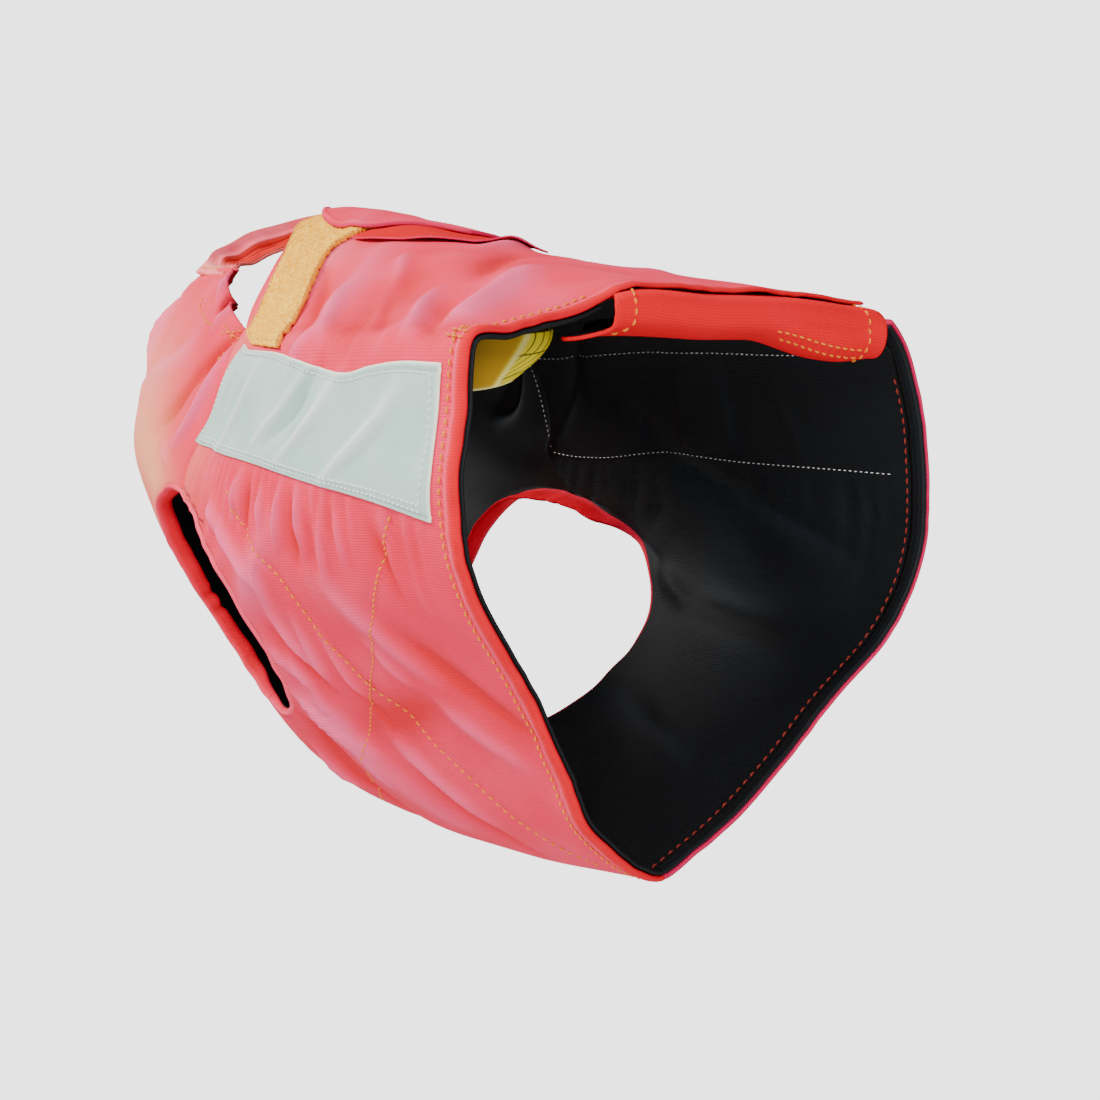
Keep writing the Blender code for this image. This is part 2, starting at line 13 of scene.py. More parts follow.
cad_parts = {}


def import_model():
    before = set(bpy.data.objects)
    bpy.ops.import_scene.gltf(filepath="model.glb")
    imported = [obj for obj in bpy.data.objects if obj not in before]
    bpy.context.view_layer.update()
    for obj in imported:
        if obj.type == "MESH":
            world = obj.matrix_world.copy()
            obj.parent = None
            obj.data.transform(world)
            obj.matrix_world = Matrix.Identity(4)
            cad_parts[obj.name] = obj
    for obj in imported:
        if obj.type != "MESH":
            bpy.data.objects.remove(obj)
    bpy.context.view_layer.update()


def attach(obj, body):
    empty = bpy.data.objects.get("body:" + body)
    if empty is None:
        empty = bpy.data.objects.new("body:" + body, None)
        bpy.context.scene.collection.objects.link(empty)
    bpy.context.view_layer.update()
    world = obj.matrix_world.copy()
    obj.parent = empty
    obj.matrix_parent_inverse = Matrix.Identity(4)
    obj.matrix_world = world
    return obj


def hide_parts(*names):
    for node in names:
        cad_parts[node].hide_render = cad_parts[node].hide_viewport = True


MM = 0.001
AROUND, ALONG = 0.36, 0.42  # metres of cloth for one unit of u and of v

# ---------------------------------------------------------------- the tube, as built
# v, top_y, top_z, low_y, low_z, left, right, dip_y, dip_z, peak, keel, throat
STATIONS = np.array([
    (0.00, 0.164, -0.020, 0.148, -0.264, 0.115, 0.143, 0.006, 0.000, 0.00, 0.00, 0.00),
    (0.16, 0.098, -0.011, 0.070, -0.278, 0.119, 0.140, 0.002, 0.000, 0.14, 0.12, 0.00),
    (0.33, 0.035, -0.002, -0.020, -0.288, 0.119, 0.134, 0.000, 0.000, 0.30, 0.32, 0.00),
    (0.50, -0.020, 0.007, -0.106, -0.283, 0.116, 0.126, 0.004, -0.006, 0.50, 0.52, 0.00),
    (0.66, -0.065, 0.015, -0.185, -0.230, 0.110, 0.115, 0.020, -0.014, 0.70, 0.72, 0.00),
    (0.82, -0.102, 0.020, -0.255, -0.138, 0.101, 0.102, 0.036, -0.016, 0.86, 0.88, 0.04),
    (0.91, -0.119, 0.021, -0.268, -0.068, 0.093, 0.093, 0.040, -0.012, 0.93, 0.94, 0.20),
    (1.00, -0.135, 0.0215, -0.245, 0.000, 0.080, 0.080, 0.040, -0.006, 1.00, 1.00, 0.42),
])
# u, left_fall, left_out, right_fall, right_out, neck_fall, neck_out
PROFILE = np.array([
    (0.00, 0.000, 0.000, 0.000, 0.000, 0.000, 0.000),
    (0.12, 0.000, 0.340, 0.000, 0.280, 0.040, 0.280),
    (0.21, 0.040, 0.580, 0.008, 0.480, 0.105, 0.500),
    (0.29, 0.062, 0.820, 0.025, 0.670, 0.215, 0.680),
    (0.35, 0.085, 0.985, 0.080, 0.785, 0.310, 0.800),
    (0.40, 0.190, 1.000, 0.185, 0.880, 0.390, 0.880),
    (0.49, 0.320, 1.010, 0.320, 0.955, 0.500, 0.980),
    (0.58, 0.460, 0.910, 0.460, 1.000, 0.610, 1.000),
    (0.66, 0.590, 0.720, 0.590, 0.935, 0.710, 0.930),
    (0.78, 0.760, 0.505, 0.760, 0.615, 0.830, 0.660),
    (0.88, 0.890, 0.345, 0.890, 0.360, 0.935, 0.360),
    (0.95, 0.972, 0.140, 0.972, 0.120, 0.985, 0.140),
    (1.00, 1.000, 0.000, 1.000, 0.000, 1.000, 0.000),
])
# The shoulders' dip, and where in u the lower half and the throat's hollow set in.
DIP_U, DIP_WIDTH = 0.42, 0.20
HALVES, THROAT = (0.36, 0.56), (0.27, 0.47)

# Ridges (+) and troughs (-) as u0, v0, u1, v1, half_width and height in thousandths, so
# that heights are in mm.  First the construction's soft ones, then the cloth's creases.
FOLDS = MM * np.array([
    (100, 660, 340, 440, 30, 3.0), (120, 500, 330, 300, 26, 2.6),
    (150, 350, 360, 180, 28, -2.8), (520, 300, 620, 420, 22, 2.6),
    (720, 380, 900, 220, 26, 3.0), (820, 400, 970, 330, 22, -3.6),
    (780, 300, 700, 120, 30, -2.6), (-600, 300, -720, 140, 30, 3.4),
    (-700, 280, -860, 160, 26, -3.0), (-420, 420, -600, 220, 26, 2.6),
    (550, 860, 700, 740, 30, 3.0), (-560, 840, -720, 720, 30, 3.0),
    (840, 900, 920, 660, 40, -2.6), (-900, 880, -840, 620, 36, 2.6),
])
CREASES = MM * np.array([
    # back and shoulder, from the strip and the nape down to the band
    (140, 400, 310, 190, 11, 1.7), (170, 370, 330, 150, 9, -1.2),
    (210, 220, 340, 90, 10, 1.6), (230, 160, 350, 50, 9, -1.1),
    (190, 550, 330, 310, 10, -1.6), (230, 400, 350, 240, 9, 1.2),
    (130, 150, 300, 70, 20, 2.6), (20, 300, 160, 200, 20, -1.6),
    (-100, 420, 60, 340, 18, 1.2), (-200, 240, -40, 140, 24, 0.6),
    # across the left band
    (325, 270, 375, 310, 9, 1.0), (370, 250, 430, 370, 7, 1.0),
    (370, 180, 450, 290, 8, 1.3), (385, 90, 470, 190, 8, 1.4),
    (360, 400, 430, 500, 8, 1.1), (370, 230, 430, 330, 8, -1.1),
    (390, 50, 450, 50, 9, -1.0), (340, 500, 400, 560, 9, -0.9),
    # gathers under the band
    (462, 390, 515, 400, 6, 1.1), (470, 360, 530, 370, 5.5, -1.0),
    (480, 320, 520, 320, 6, 1.2), (485, 280, 540, 290, 6, 1.2),
    (490, 260, 560, 260, 6, -1.0), (492, 240, 545, 240, 6, 1.0),
    (500, 200, 570, 210, 6.5, 1.1), (502, 170, 555, 170, 6, 0.9),
    (520, 120, 600, 100, 8, -0.9),
    # flank, fanning out from the leg hole
    (500, 460, 580, 360, 10, 1.4), (620, 350, 680, 310, 8, 1.3),
    (660, 400, 700, 340, 8, 1.3), (640, 370, 720, 300, 8, -1.1),
    (730, 390, 800, 290, 12, 1.9), (780, 420, 860, 350, 10, -1.5),
    (840, 430, 910, 370, 10, 1.8), (870, 390, 960, 340, 10, -1.4),
    (630, 140, 740, 20, 14, -1.4), (700, 140, 780, 50, 13, 1.1),
    (760, 250, 880, 150, 12, 1.3), (820, 220, 950, 140, 12, -1.2),
    (580, 220, 680, 120, 14, 1.0), (559, 342, 616, 350, 6.5, 1.0),
    (625, 306, 700, 300, 7.5, 1.1), (633, 272, 725, 250, 6.5, 0.9),
    (656, 356, 731, 334, 6.5, 1.0), (641, 196, 690, 160, 7, 0.8),
    (717, 356, 765, 305, 6.5, 1.0), (690, 270, 760, 235, 6.5, -0.8),
    (780, 330, 850, 290, 7, 1.0), (480, 480, 520, 445, 6.5, 0.9),
    # chest
    (310, 700, 400, 780, 13, -2.4), (400, 780, 510, 760, 14, -2.2),
    (340, 670, 470, 700, 12, 1.8), (490, 730, 510, 680, 10, 1.3),
    (440, 860, 600, 840, 16, 1.6), (700, 900, 880, 800, 22, 2.0),
    (880, 780, 920, 560, 18, -1.6), (-700, 900, -900, 800, 22, -1.8),
    (-340, 700, -500, 760, 13, 2.0),
    # right side
    (-620, 350, -660, 290, 10, -1.8), (-660, 290, -700, 120, 14, -2.0),
    (-550, 460, -610, 360, 10, 1.6), (-480, 340, -610, 70, 14, 1.6),
    (-390, 420, -440, 400, 8, 1.2), (-380, 340, -450, 330, 8, -1.0),
    (-370, 260, -460, 250, 8, 1.0), (-380, 190, -470, 160, 8, -0.9),
    (-780, 300, -850, 120, 14, 1.8), (-840, 260, -930, 180, 12, -1.4),
    (-300, 500, -420, 600, 12, 1.4),
    # the neck corner's tuck, with a lip on either side
    (296, 836, 345, 850, 8, -2.4), (305, 795, 350, 815, 10, 1.2),
    (290, 880, 350, 885, 13, 1.4),
    # the bulge beside the throat
    (665, 950, 615, 872, 16, 2.8),
])

# The leg holes' u, v, half_u, half_v, lean and bow, and what the cut leaves free.
LEFT_HOLE = (0.655, 0.558, 0.150, 0.132, -0.040, -0.014)
RIGHT_HOLE = (0.692, 0.490, 0.163, 0.157, -0.060, 0.0)
HOLE_ROOM = 0.0045

# Edges of the cut, as (|u|, v).
NECK_EDGE = np.array([(0.00, 1.000), (0.08, 0.950), (0.14, 0.870), (0.20, 0.800),
                      (0.25, 0.745), (0.30, 0.700)])
CORNER_SEAM = np.array([(0.30, 0.700), (0.34, 0.650), (0.385, 0.625), (0.43, 0.622),
                        (0.47, 0.625)])
THROAT_EDGE = np.array([(0.30, 0.700), (0.306, 0.790), (0.325, 0.875), (0.365, 0.935),
                        (0.420, 0.960), (0.48, 0.970), (0.60, 0.970), (0.78, 0.950),
                        (1.00, 0.920)])
CORNER_U, BELLY_V = 0.30, 0.42      # the neck's corner, and the seam under the belly
# How threads drift round the body: u at the front edge and u at the rear hem.
LEFT_THREADS = np.array([(-0.27, -0.27), (0.13, 0.13), (0.30, 0.345), (0.318, 0.378),
                         (0.425, 0.512), (0.50, 0.600), (0.81, 0.870), (1.00, 1.00)])
RIGHT_THREADS = np.array([(-0.13, -0.13), (0.30, 0.30), (0.335, 0.363), (0.500, 0.500),
                          (0.54, 0.56), (0.86, 0.880), (1.00, 1.00)])
TUCK, TUCK_DEPTH = (0.300, 0.385), 2.75 * MM    # the right panel goes under the left one
HEM_V, ROLL_V = 0.009, 0.036        # where the panels begin, under the hem and at the roll
LAP_U, UNDERLAP_U = -0.255, -0.13   # upper edges of the left panel, and of the right one
BACK_LINING_U = 0.16                # upper edge of the left lining
LINING_SHORT = 0.028                # how far before the throat the chest lining ends, in v
LEFT_FACING, RIGHT_FACING = 5.2, 14.0   # depth of the leg holes' facings in front, in mm

# Topstitched seams of the left flank, and the two edges of each band, as (u, v).
SEAM_A = np.array([(0.477, 0.423), (0.497, 0.400), (0.528, 0.362), (0.567, 0.312),
                   (0.595, 0.292), (0.640, 0.268), (0.675, 0.245), (0.710, 0.222),
                   (0.755, 0.188), (0.805, 0.150), (0.870, 0.105), (0.915, 0.072),
                   (0.960, 0.050)])
SEAM_B = np.array([(0.505, 0.090), (0.529, 0.102), (0.571, 0.130), (0.637, 0.184),
                   (0.705, 0.238), (0.783, 0.290), (0.899, 0.368), (0.945, 0.400)])
LEFT_BAND = (np.array([(0.030, 0.368), (0.087, 0.367), (0.137, 0.370), (0.177, 0.374),
                       (0.212, 0.372), (0.276, 0.365), (0.395, 0.348), (0.597, 0.318)]),
             np.array([(0.031, 0.506), (0.086, 0.494), (0.146, 0.484), (0.260, 0.466),
                       (0.329, 0.454), (0.442, 0.433), (0.527, 0.423), (0.628, 0.427)]))
RIGHT_BAND = (np.array([(0.031, 0.365), (0.144, 0.365), (0.298, 0.360), (0.485, 0.341),
                        (0.671, 0.337)]),
              np.array([(0.031, 0.496), (0.239, 0.483), (0.408, 0.461), (0.628, 0.470)]))
BAND_TOP, STRIP_TOP = 0.95 * MM, 2.1 * MM     # how high the bands and the strip stand
# The loop strip's front and rear edges, as (u, v).
STRIP_FRONT = np.array([(0.030, 0.950), (0.090, 0.925), (0.134, 0.893), (0.168, 0.835),
                        (0.203, 0.763), (0.238, 0.710), (0.268, 0.670), (0.304, 0.625)])
STRIP_REAR = np.array([(0.030, 0.655), (0.083, 0.632), (0.121, 0.618), (0.154, 0.607),
                       (0.184, 0.577), (0.219, 0.531), (0.271, 0.455), (0.350, 0.350)])

SHELL, LINING, TRIM, STRAP = 1.6 * MM, 1.0 * MM, 0.6 * MM, 2.0 * MM     # thicknesses
BEHIND = SHELL + 0.5 * MM   # depth of the linings' outer faces
FINE = 2.0 * MM             # spacing of the cloth meshes
PANEL_ROWS, CHEST_ROWS = 161, 141   # their rows from rear to front
HOLE_STEPS, BELLY_STEPS = 48, 14    # their columns across a leg hole, and below it
CREASE_GAIN = 2.7           # how much higher the creases are than their table says
FOLD_UNIT = 2.5 * MM        # lift that counts as one fold in the cloth's painted highlights and painted shade
PUCKER = 11.5 * MM          # spacing of the puckers along the bands


# ---------------------------------------------------------------- the surface
def cubic(knots, values, x):
    """Smooth curve through the rows of values, one row a knot."""
    x = np.clip(x, knots[0], knots[-1])
    slopes = np.gradient(values, knots, axis=0)
    i = np.clip(np.searchsorted(knots, x, side="right") - 1, 0, len(knots) - 2)
    width = (knots[i + 1] - knots[i])[..., None]
    t = (x - knots[i])[..., None] / width
    a, b = values[i], values[i + 1]
    da, db = slopes[i] * width, slopes[i + 1] * width
    return ((2 * t**3 - 3 * t**2 + 1) * a + (t**3 - 2 * t**2 + t) * da
            + (3 * t**2 - 2 * t**3) * b + (t**3 - t**2) * db)


def along_rows(table, count):
    """A number of rows along a table's own, smooth between them."""
    table = np.asarray(table, float)
    last = len(table) - 1.0
    return cubic(np.arange(last + 1.0), table, np.linspace(0.0, last, count))


def ease(x, start, end):
    """0 before start, 1 after end, smooth between."""
    t = np.clip((x - start) / (end - start), 0.0, 1.0)
    return t * t * (3.0 - 2.0 * t)


def smear(distance, width):
    """1 on a line and 0 more than about width away from it."""
    return np.exp(-(distance / width) ** 2)


def full_ring():
    """The profile with its mirror images before the back and after the belly."""
    mirror = np.array((-1, 1, -1, 1, -1, 1, -1))
    before = PROFILE[:0:-1] * mirror
    after = PROFILE[-2::-1] * mirror
    after[:, 0] += 2.0
    return np.vstack((before, PROFILE, after))


RING = full_ring()


def base(u, v):
    """The tube's outer face without its folds."""
    u, v = np.broadcast_arrays(np.asarray(u, float), np.asarray(v, float))
    top_y, top_z, low_y, low_z, left, right, dip_y, dip_z, peak, keel, throat = \
        np.moveaxis(cubic(STATIONS[:, 0], STATIONS[:, 1:], v), -1, 0)
    around = np.abs(u)
    lf, lo, rf, ro, nf, no = np.moveaxis(cubic(RING[:, 0], RING[:, 1:], around), -1, 0)
    on_left = u >= 0
    lower = ease(around, *HALVES)
    change = peak * (1 - lower) + keel * lower
    fall = np.where(on_left, lf, rf) * (1 - change) + nf * change
    out = np.where(on_left, lo, ro) * (1 - change) + no * change
    out = out * (1 - throat * ease(around, *THROAT))
    half = np.where(on_left, left, right)
    dip = smear(around - DIP_U, DIP_WIDTH)
    return np.stack((np.sign(u) * half * out,
                     top_y + (low_y - top_y) * fall + dip_y * dip,
                     top_z + (low_z - top_z) * fall + dip_z * dip), axis=-1)


def unit(vectors):
    """Vectors of length one."""
    return vectors / np.maximum(np.linalg.norm(vectors, axis=-1, keepdims=True), 1e-12)


def outward(u, v):
    """Direction straight out of the tube."""
    step = 0.012
    v = np.clip(v, step, 1 - step)
    round_body = base(u + step, v) - base(u - step, v)
    along = base(u, v + step) - base(u, v - step)
    return unit(np.cross(along, round_body))


def heights(table, u, v):
    """Height of a table's folds at points of the tube."""
    total = np.zeros(u.shape)
    for u0, v0, u1, v1, half_width, height in table:
        du, dv = u1 - u0, v1 - v0
        t = np.clip(((u - u0) * du + (v - v0) * dv) / (du * du + dv * dv), 0.0, 1.0)
        away = np.hypot(u - u0 - t * du, v - v0 - t * dv)
        ends = 0.35 + 0.65 * np.sin(np.pi * t)
        total += height * ends * np.exp(-(away / half_width) ** 1.6)
    return total


def beside(u, v, table):
    """Metres down the body from a band's edge, and metres along it."""
    return (np.abs(u) - np.interp(v, table[:, 0], table[:, 1])) * AROUND, v * ALONG


def gathers(u, v):
    """Small puckers where the bands are sewn down, and round the leg holes."""
    total = np.zeros(u.shape)
    for side, bands in ((1, LEFT_BAND), (-1, RIGHT_BAND)):
        for table, below, tall in zip(bands, (-1, 1), (0.30, 0.85)):
            away, along = beside(u, v, table)
            phase = np.pi * along / PUCKER + 1.1 * np.sin(along * 110 + 4 * below) \
                + 0.6 * np.sin(along * 61)
            wave = 1.9 * smear(np.sin(phase), 0.55) - 0.8
            away = away * below - 0.006
            reach = np.where(away > 0, 0.012 + 0.014 * np.sin(along * 47) ** 2, 0.0035)
            ends = ease(v, 0.03, 0.07) * (1 - ease(v, 0.56, 0.62))
            total += tall * MM * wave * smear(away, reach) * ends * (u * side > 0)
    for side, hole in ((1, LEFT_HOLE), (-1, RIGHT_HOLE)):
        du, dv = (np.abs(u) - hole[0]) / hole[2], (v - hole[1]) / hole[3]
        away = (np.hypot(du, dv) - 1.0) * 0.05
        turn = np.arctan2(dv, du)
        wave = np.sin(17 * turn + 1.7 * np.sin(5 * turn))
        total += 0.38 * MM * wave * smear(away - 0.006, 0.014) * (u * side > 0)
    return total


def ripple(u, v):
    """Slight unevenness of cloth that nothing pulls flat."""
    return 0.22 * MM * (np.sin(61 * u + 23 * v + 1.7 * np.sin(19 * v))
                        + np.sin(37 * v - 29 * u + 1.3 * np.sin(31 * u)))


def relief(u, v):
    """How far the folds lift the cloth."""
    u, v = np.broadcast_arrays(np.asarray(u, float), np.asarray(v, float))
    return (heights(FOLDS, u, v) + CREASE_GAIN * heights(CREASES, u, v) + gathers(u, v)
            + ripple(u, v))


def skin(u, v, depth=0.0):
    """Points at a depth below (-) or above (+) the outer face."""
    u, v = np.broadcast_arrays(np.asarray(u, float), np.asarray(v, float))
    return base(u, v) + outward(u, v) * (relief(u, v) + depth)[..., None]


# ---------------------------------------------------------------- edges of the cut
def through(table, x):
    """A smooth edge through a table's points."""
    return cubic(table[:, 0], table[:, 1:], np.asarray(x, float))[..., 0]


def hole_edge(around, hole, side):
    """v of the cut along a leg hole's rear (-1) or front (+1) edge."""
    u0, v0, half_u, half_v, lean, bow = hole
    cosine = np.clip((around - u0) / (half_u + HOLE_ROOM), -1.0, 1.0)
    sine = np.sqrt(1.0 - cosine ** 2)
    return v0 + lean * cosine + bow * sine ** 2 + side * (half_v + HOLE_ROOM) * sine


def hole_ends(hole):
    """u where the cut for a leg hole begins and ends."""
    return hole[0] - hole[2] - HOLE_ROOM, hole[0] + hole[2] + HOLE_ROOM


def seam_line(around, hole, side):
    """v of the line between side and chest panels, along the hole's given edge."""
    first, last = hole_ends(hole)
    upper_v, lower_v = hole[1] - hole[4], hole[1] + hole[4]
    seam = np.vstack((CORNER_SEAM, ((first, upper_v),)))
    under = np.clip((around - last) / (1.0 - last), 0.0, 1.0)
    line = np.where(around < first, through(seam, around), hole_edge(around, hole, side))
    return np.where(around > last, lower_v + (BELLY_V - lower_v) * under, line)


def side_front(u, hole):
    """v of a side panel's front edge."""
    around = np.abs(u)
    return np.where(around < CORNER_U, through(NECK_EDGE, around),
                    seam_line(around, hole, -1))


def hole_ring(u, v, hole):
    """How far outside a leg hole a point is, where 1 is about the hole's own half size."""
    u0, v0, half_u, half_v, lean, bow = hole
    c = (u - u0) / half_u
    return np.hypot(c, (v - v0 - lean * c - bow * np.maximum(1 - c * c, 0)) / half_v) - 1.0


def hole_columns(hole):
    """Values of u across a leg hole, close together at its ends."""
    first, last = hole_ends(hole)
    half_turn = np.linspace(0.0, np.pi, HOLE_STEPS)
    return 0.5 * (first + last) - 0.5 * (last - first) * np.cos(half_turn)


def side_columns(start, hole):
    """Values of u of a side panel, from start to the belly."""
    across = hole_columns(hole)
    upper = np.arange(start, across[0] - 0.004, FINE / AROUND)
    return np.concatenate((upper, across, np.linspace(across[-1], 1.0, BELLY_STEPS)[1:]))


def side_grid(side, start, hole, threads, first_v):
    """Parameters of a side panel on threads that run from the rear hem to its front."""
    u = side_columns(start, hole)
    t = np.linspace(0.0, 1.0, PANEL_ROWS)[:, None]
    rear = np.interp(u, threads[:, 0], threads[:, 1])
    first, last = np.searchsorted(u, hole_ends(hole)[0] - 1e-9), len(u) - BELLY_STEPS
    rear[first:last + 1] = np.linspace(rear[first], rear[last], last + 1 - first)
    low = first_v(side * u)
    return side * (rear + (u - rear) * t), low + (side_front(u, hole) - low) * t


def left_start(u):
    """Rear edge of the left panel."""
    return HEM_V + 0.0 * u


def right_start(u):
    """Rear edge of the right panel: its flap ends where the roll begins."""
    return HEM_V + (ROLL_V - HEM_V) * ease(u, -0.345, -0.305)


def tuck(u):
    """Depth of the right panel, which goes under the left one over the back."""
    return -TUCK_DEPTH * ease(u, -TUCK[1], -TUCK[0])


# ---------------------------------------------------------------- meshes
def new_mesh(name, points, faces, materials, face_slots=None, uv=None, marks=None):
    """A smooth mesh with its materials, cloth coordinates in metres and vertex marks."""
    mesh = bpy.data.meshes.new(name)
    mesh.from_pydata(np.asarray(points).tolist(), [], faces)
    mesh.polygons.foreach_set("use_smooth", [True] * len(mesh.polygons))
    for material in materials:
        mesh.materials.append(material)
    if face_slots is not None:
        mesh.polygons.foreach_set("material_index", np.asarray(face_slots, np.int32))
    if uv is not None:
        corner = np.empty(len(mesh.loops), np.int32)
        mesh.loops.foreach_get("vertex_index", corner)
        layer = mesh.uv_layers.new(name="cloth")
        layer.data.foreach_set("uv", np.asarray(uv, np.float32)[corner].ravel())
    for key, values in (marks or {}).items():
        mesh.attributes.new(key, "FLOAT", "POINT").data.foreach_set(
            "value", np.asarray(values, np.float32).ravel())
    obj = bpy.data.objects.new(name, mesh)
    bpy.context.scene.collection.objects.link(obj)
    return obj


def rim_of(grid):
    """A grid's values round its edge, in order."""
    return np.concatenate((grid[0, :], grid[1:, -1], grid[-1, -2::-1], grid[-2:0:-1, 0]))


def shell(name, outer, inner, materials, uv, marks=None):
    """A thin closed wall between two grids, its rim a lip, a bulge and a lip.  materials
    are those of the outer face, the inner face and the rim."""
    rows, columns = outer.shape[:2]
    count = rows * columns
    index = np.arange(count).reshape(rows, columns)
    a, b, c, d = index[:-1, :-1], index[1:, :-1], index[1:, 1:], index[:-1, 1:]
    front = np.stack((a, b, c, d), -1).reshape(-1, 4)
    back = front[:, ::-1] + count
    ring = rim_of(index)
    inside = rim_of(np.pad(index[1:-1, 1:-1], 1, mode="edge"))
    flat_out, flat_in = outer.reshape(-1, 3), inner.reshape(-1, 3)
    middle = 0.5 * (flat_out[ring] + flat_in[ring])
    thick = np.linalg.norm(flat_out[ring] - flat_in[ring], axis=-1, keepdims=True)
    away = unit(flat_out[ring] - flat_out[inside])
    bulge = middle + away * thick * 0.42
    lips = [flat_out[ring] * 0.78 + middle * 0.22 + away * thick * 0.30, bulge,
            flat_in[ring] * 0.78 + middle * 0.22 + away * thick * 0.30]
    loops = [ring] + [2 * count + k * len(ring) + np.arange(len(ring)) for k in range(3)] \
        + [ring + count]
    sides = []
    for first, second in zip(loops[:-1], loops[1:]):
        sides.append(np.stack((first, np.roll(first, -1), np.roll(second, -1), second), -1))
    sides = np.concatenate(sides)
    faces = np.concatenate((front, back, sides)).tolist()
    slots = np.repeat((0, 1, 2), (len(front), len(back), len(sides)))
    points = np.vstack([flat_out, flat_in] + lips)
    flat_uv = uv.reshape(-1, 2)
    all_uv = np.vstack([flat_uv, flat_uv] + [flat_uv[ring]] * 3)
    all_marks = {key: np.concatenate([value.ravel()] * 2 + [value.ravel()[ring]] * 3)
                 for key, value in (marks or {}).items()}
    return new_mesh(name, points, faces, materials, slots, all_uv, all_marks)


def cloth(name, u, v, top, thick, materials, marks=None):
    """A piece of the tube whose outer face is at depth top."""
    u, v = np.broadcast_arrays(u, v)
    start, out, lift = base(u, v), outward(u, v), relief(u, v)
    marks = dict(marks or {}, fold=lift / FOLD_UNIT)
    return shell(name, start + out * (lift + top)[..., None],
                 start + out * (lift + top - thick)[..., None], materials,
                 np.stack((u * AROUND, v * ALONG), -1), marks)


def loft(name, rings, materials, closed, marks):
    """A bar through closed rings of points, its two ends joined if it is closed."""
    count, sides = rings.shape[:2]
    index = np.arange(count * sides).reshape(count, sides)
    first = index if closed else index[:-1]
    second = np.roll(index, -1, axis=0) if closed else index[1:]
    faces = np.stack((first, np.roll(first, -1, 1), np.roll(second, -1, 1), second),
                     -1).reshape(-1, 4).tolist()
    if not closed:
        faces += [index[0][::-1].tolist(), index[-1].tolist()]
    step = np.linalg.norm(np.diff(rings[:, 0], axis=0), axis=-1)
    along = np.concatenate(((0.0,), np.cumsum(step)))[:, None] + np.zeros(sides)
    across = np.arange(sides) * 1.2 * MM + np.zeros((count, 1))
    uv = np.stack((across, along), -1).reshape(-1, 2)
    return new_mesh(name, rings.reshape(-1, 3), faces, materials, None, uv, marks)


# ---------------------------------------------------------------- materials
def srgb(colour):
    """Linear colour from 0 to 255 values."""
    c = np.array(colour) / 255.0
    linear = np.where(c <= 0.04045, c / 12.92, ((c + 0.055) / 1.055) ** 2.4)
    return tuple(linear.tolist()) + (1.0,)


class Nodes:
    """Short forms for building a material's nodes."""

    def __init__(self, name):
        self.material = bpy.data.materials.new(name)
        self.material.use_nodes = True
        self.tree = self.material.node_tree
        self.shader = self.tree.nodes["Principled BSDF"]

    def put(self, socket, value):
        """Link a socket or set it: three numbers are a colour's 0 to 255 values."""
        if isinstance(value, bpy.types.NodeSocket):
            self.tree.links.new(value, socket)
        elif isinstance(value, tuple) and len(value) == 3:
            socket.default_value = srgb(value)
        else:
            socket.default_value = value

    def node(self, kind, settings=None, **inputs):
        """A new node, with its settings and inputs."""
        node = self.tree.nodes.new(kind)
        for key, value in (settings or {}).items():
            setattr(node, key, value)
        for key, value in inputs.items():
            self.put(node.inputs[key.replace("_", " ")], value)
        return node

    def math(self, operation, a, b=0.0, clamp=False):
        """Result of one operation on numbers."""
        node = self.tree.nodes.new("ShaderNodeMath")
        node.operation, node.use_clamp = operation, clamp
        self.put(node.inputs[0], a)
        self.put(node.inputs[1], b)
        return node.outputs[0]

    def plus(self, a, b):
        """Sum."""
        return self.math("ADD", a, b)

    def times(self, a, b, clamp=False):
        """Product, held between 0 and 1 if clamped."""
        return self.math("MULTIPLY", a, b, clamp)

    def mix(self, factor, a, b):
        """Colour between a and b."""
        node = self.tree.nodes.new("ShaderNodeMix")
        node.data_type = "RGBA"
        self.put(node.inputs[0], factor)
        self.put(node.inputs[6], a)
        self.put(node.inputs[7], b)
        return node.outputs[2]

    def mark(self, name):
        """A vertex mark's value."""
        return self.node("ShaderNodeAttribute", {"attribute_name": name}).outputs["Fac"]

    def noise(self, scale, detail=3.0):
        """Noise about 0.5 on the object's own metres."""
        place = self.node("ShaderNodeTexCoord").outputs["Object"]
        return self.node("ShaderNodeTexNoise", Scale=scale, Detail=detail,
                         Vector=place).outputs["Fac"]

    def waves(self, period, axis=0):
        """Ridges of cloth thread, 0 to 1, with a period in metres."""
        uv = self.node("ShaderNodeUVMap", {"uv_map": "cloth"}).outputs["UV"]
        x = self.node("ShaderNodeSeparateXYZ", Vector=uv).outputs[axis]
        wave = self.math("SINE", self.times(x, 2 * np.pi / period))
        return self.plus(self.times(wave, 0.5), 0.5)

    def bump(self, height, distance, strength=1.0):
        """Relief of the surface, its distance in metres."""
        node = self.node("ShaderNodeBump", Strength=strength, Distance=distance,
                         Height=height)
        self.put(self.shader.inputs["Normal"], node.outputs["Normal"])

    def finish(self, colour, rough, sheen=0.0, tint=(1, 1, 1, 1), specular=0.3):
        """Connect the shader's main inputs."""
        for key, value in (("Base Color", colour), ("Roughness", rough),
                           ("Sheen Weight", sheen), ("Sheen Tint", tint),
                           ("Sheen Roughness", 0.45), ("Specular IOR Level", specular)):
            self.put(self.shader.inputs[key], value)
        return self.material


THREAD = 1.0 * MM           # spacing of the cloths' ribs
RIB_SHADE = 0.572           # how dark the cloth is between them


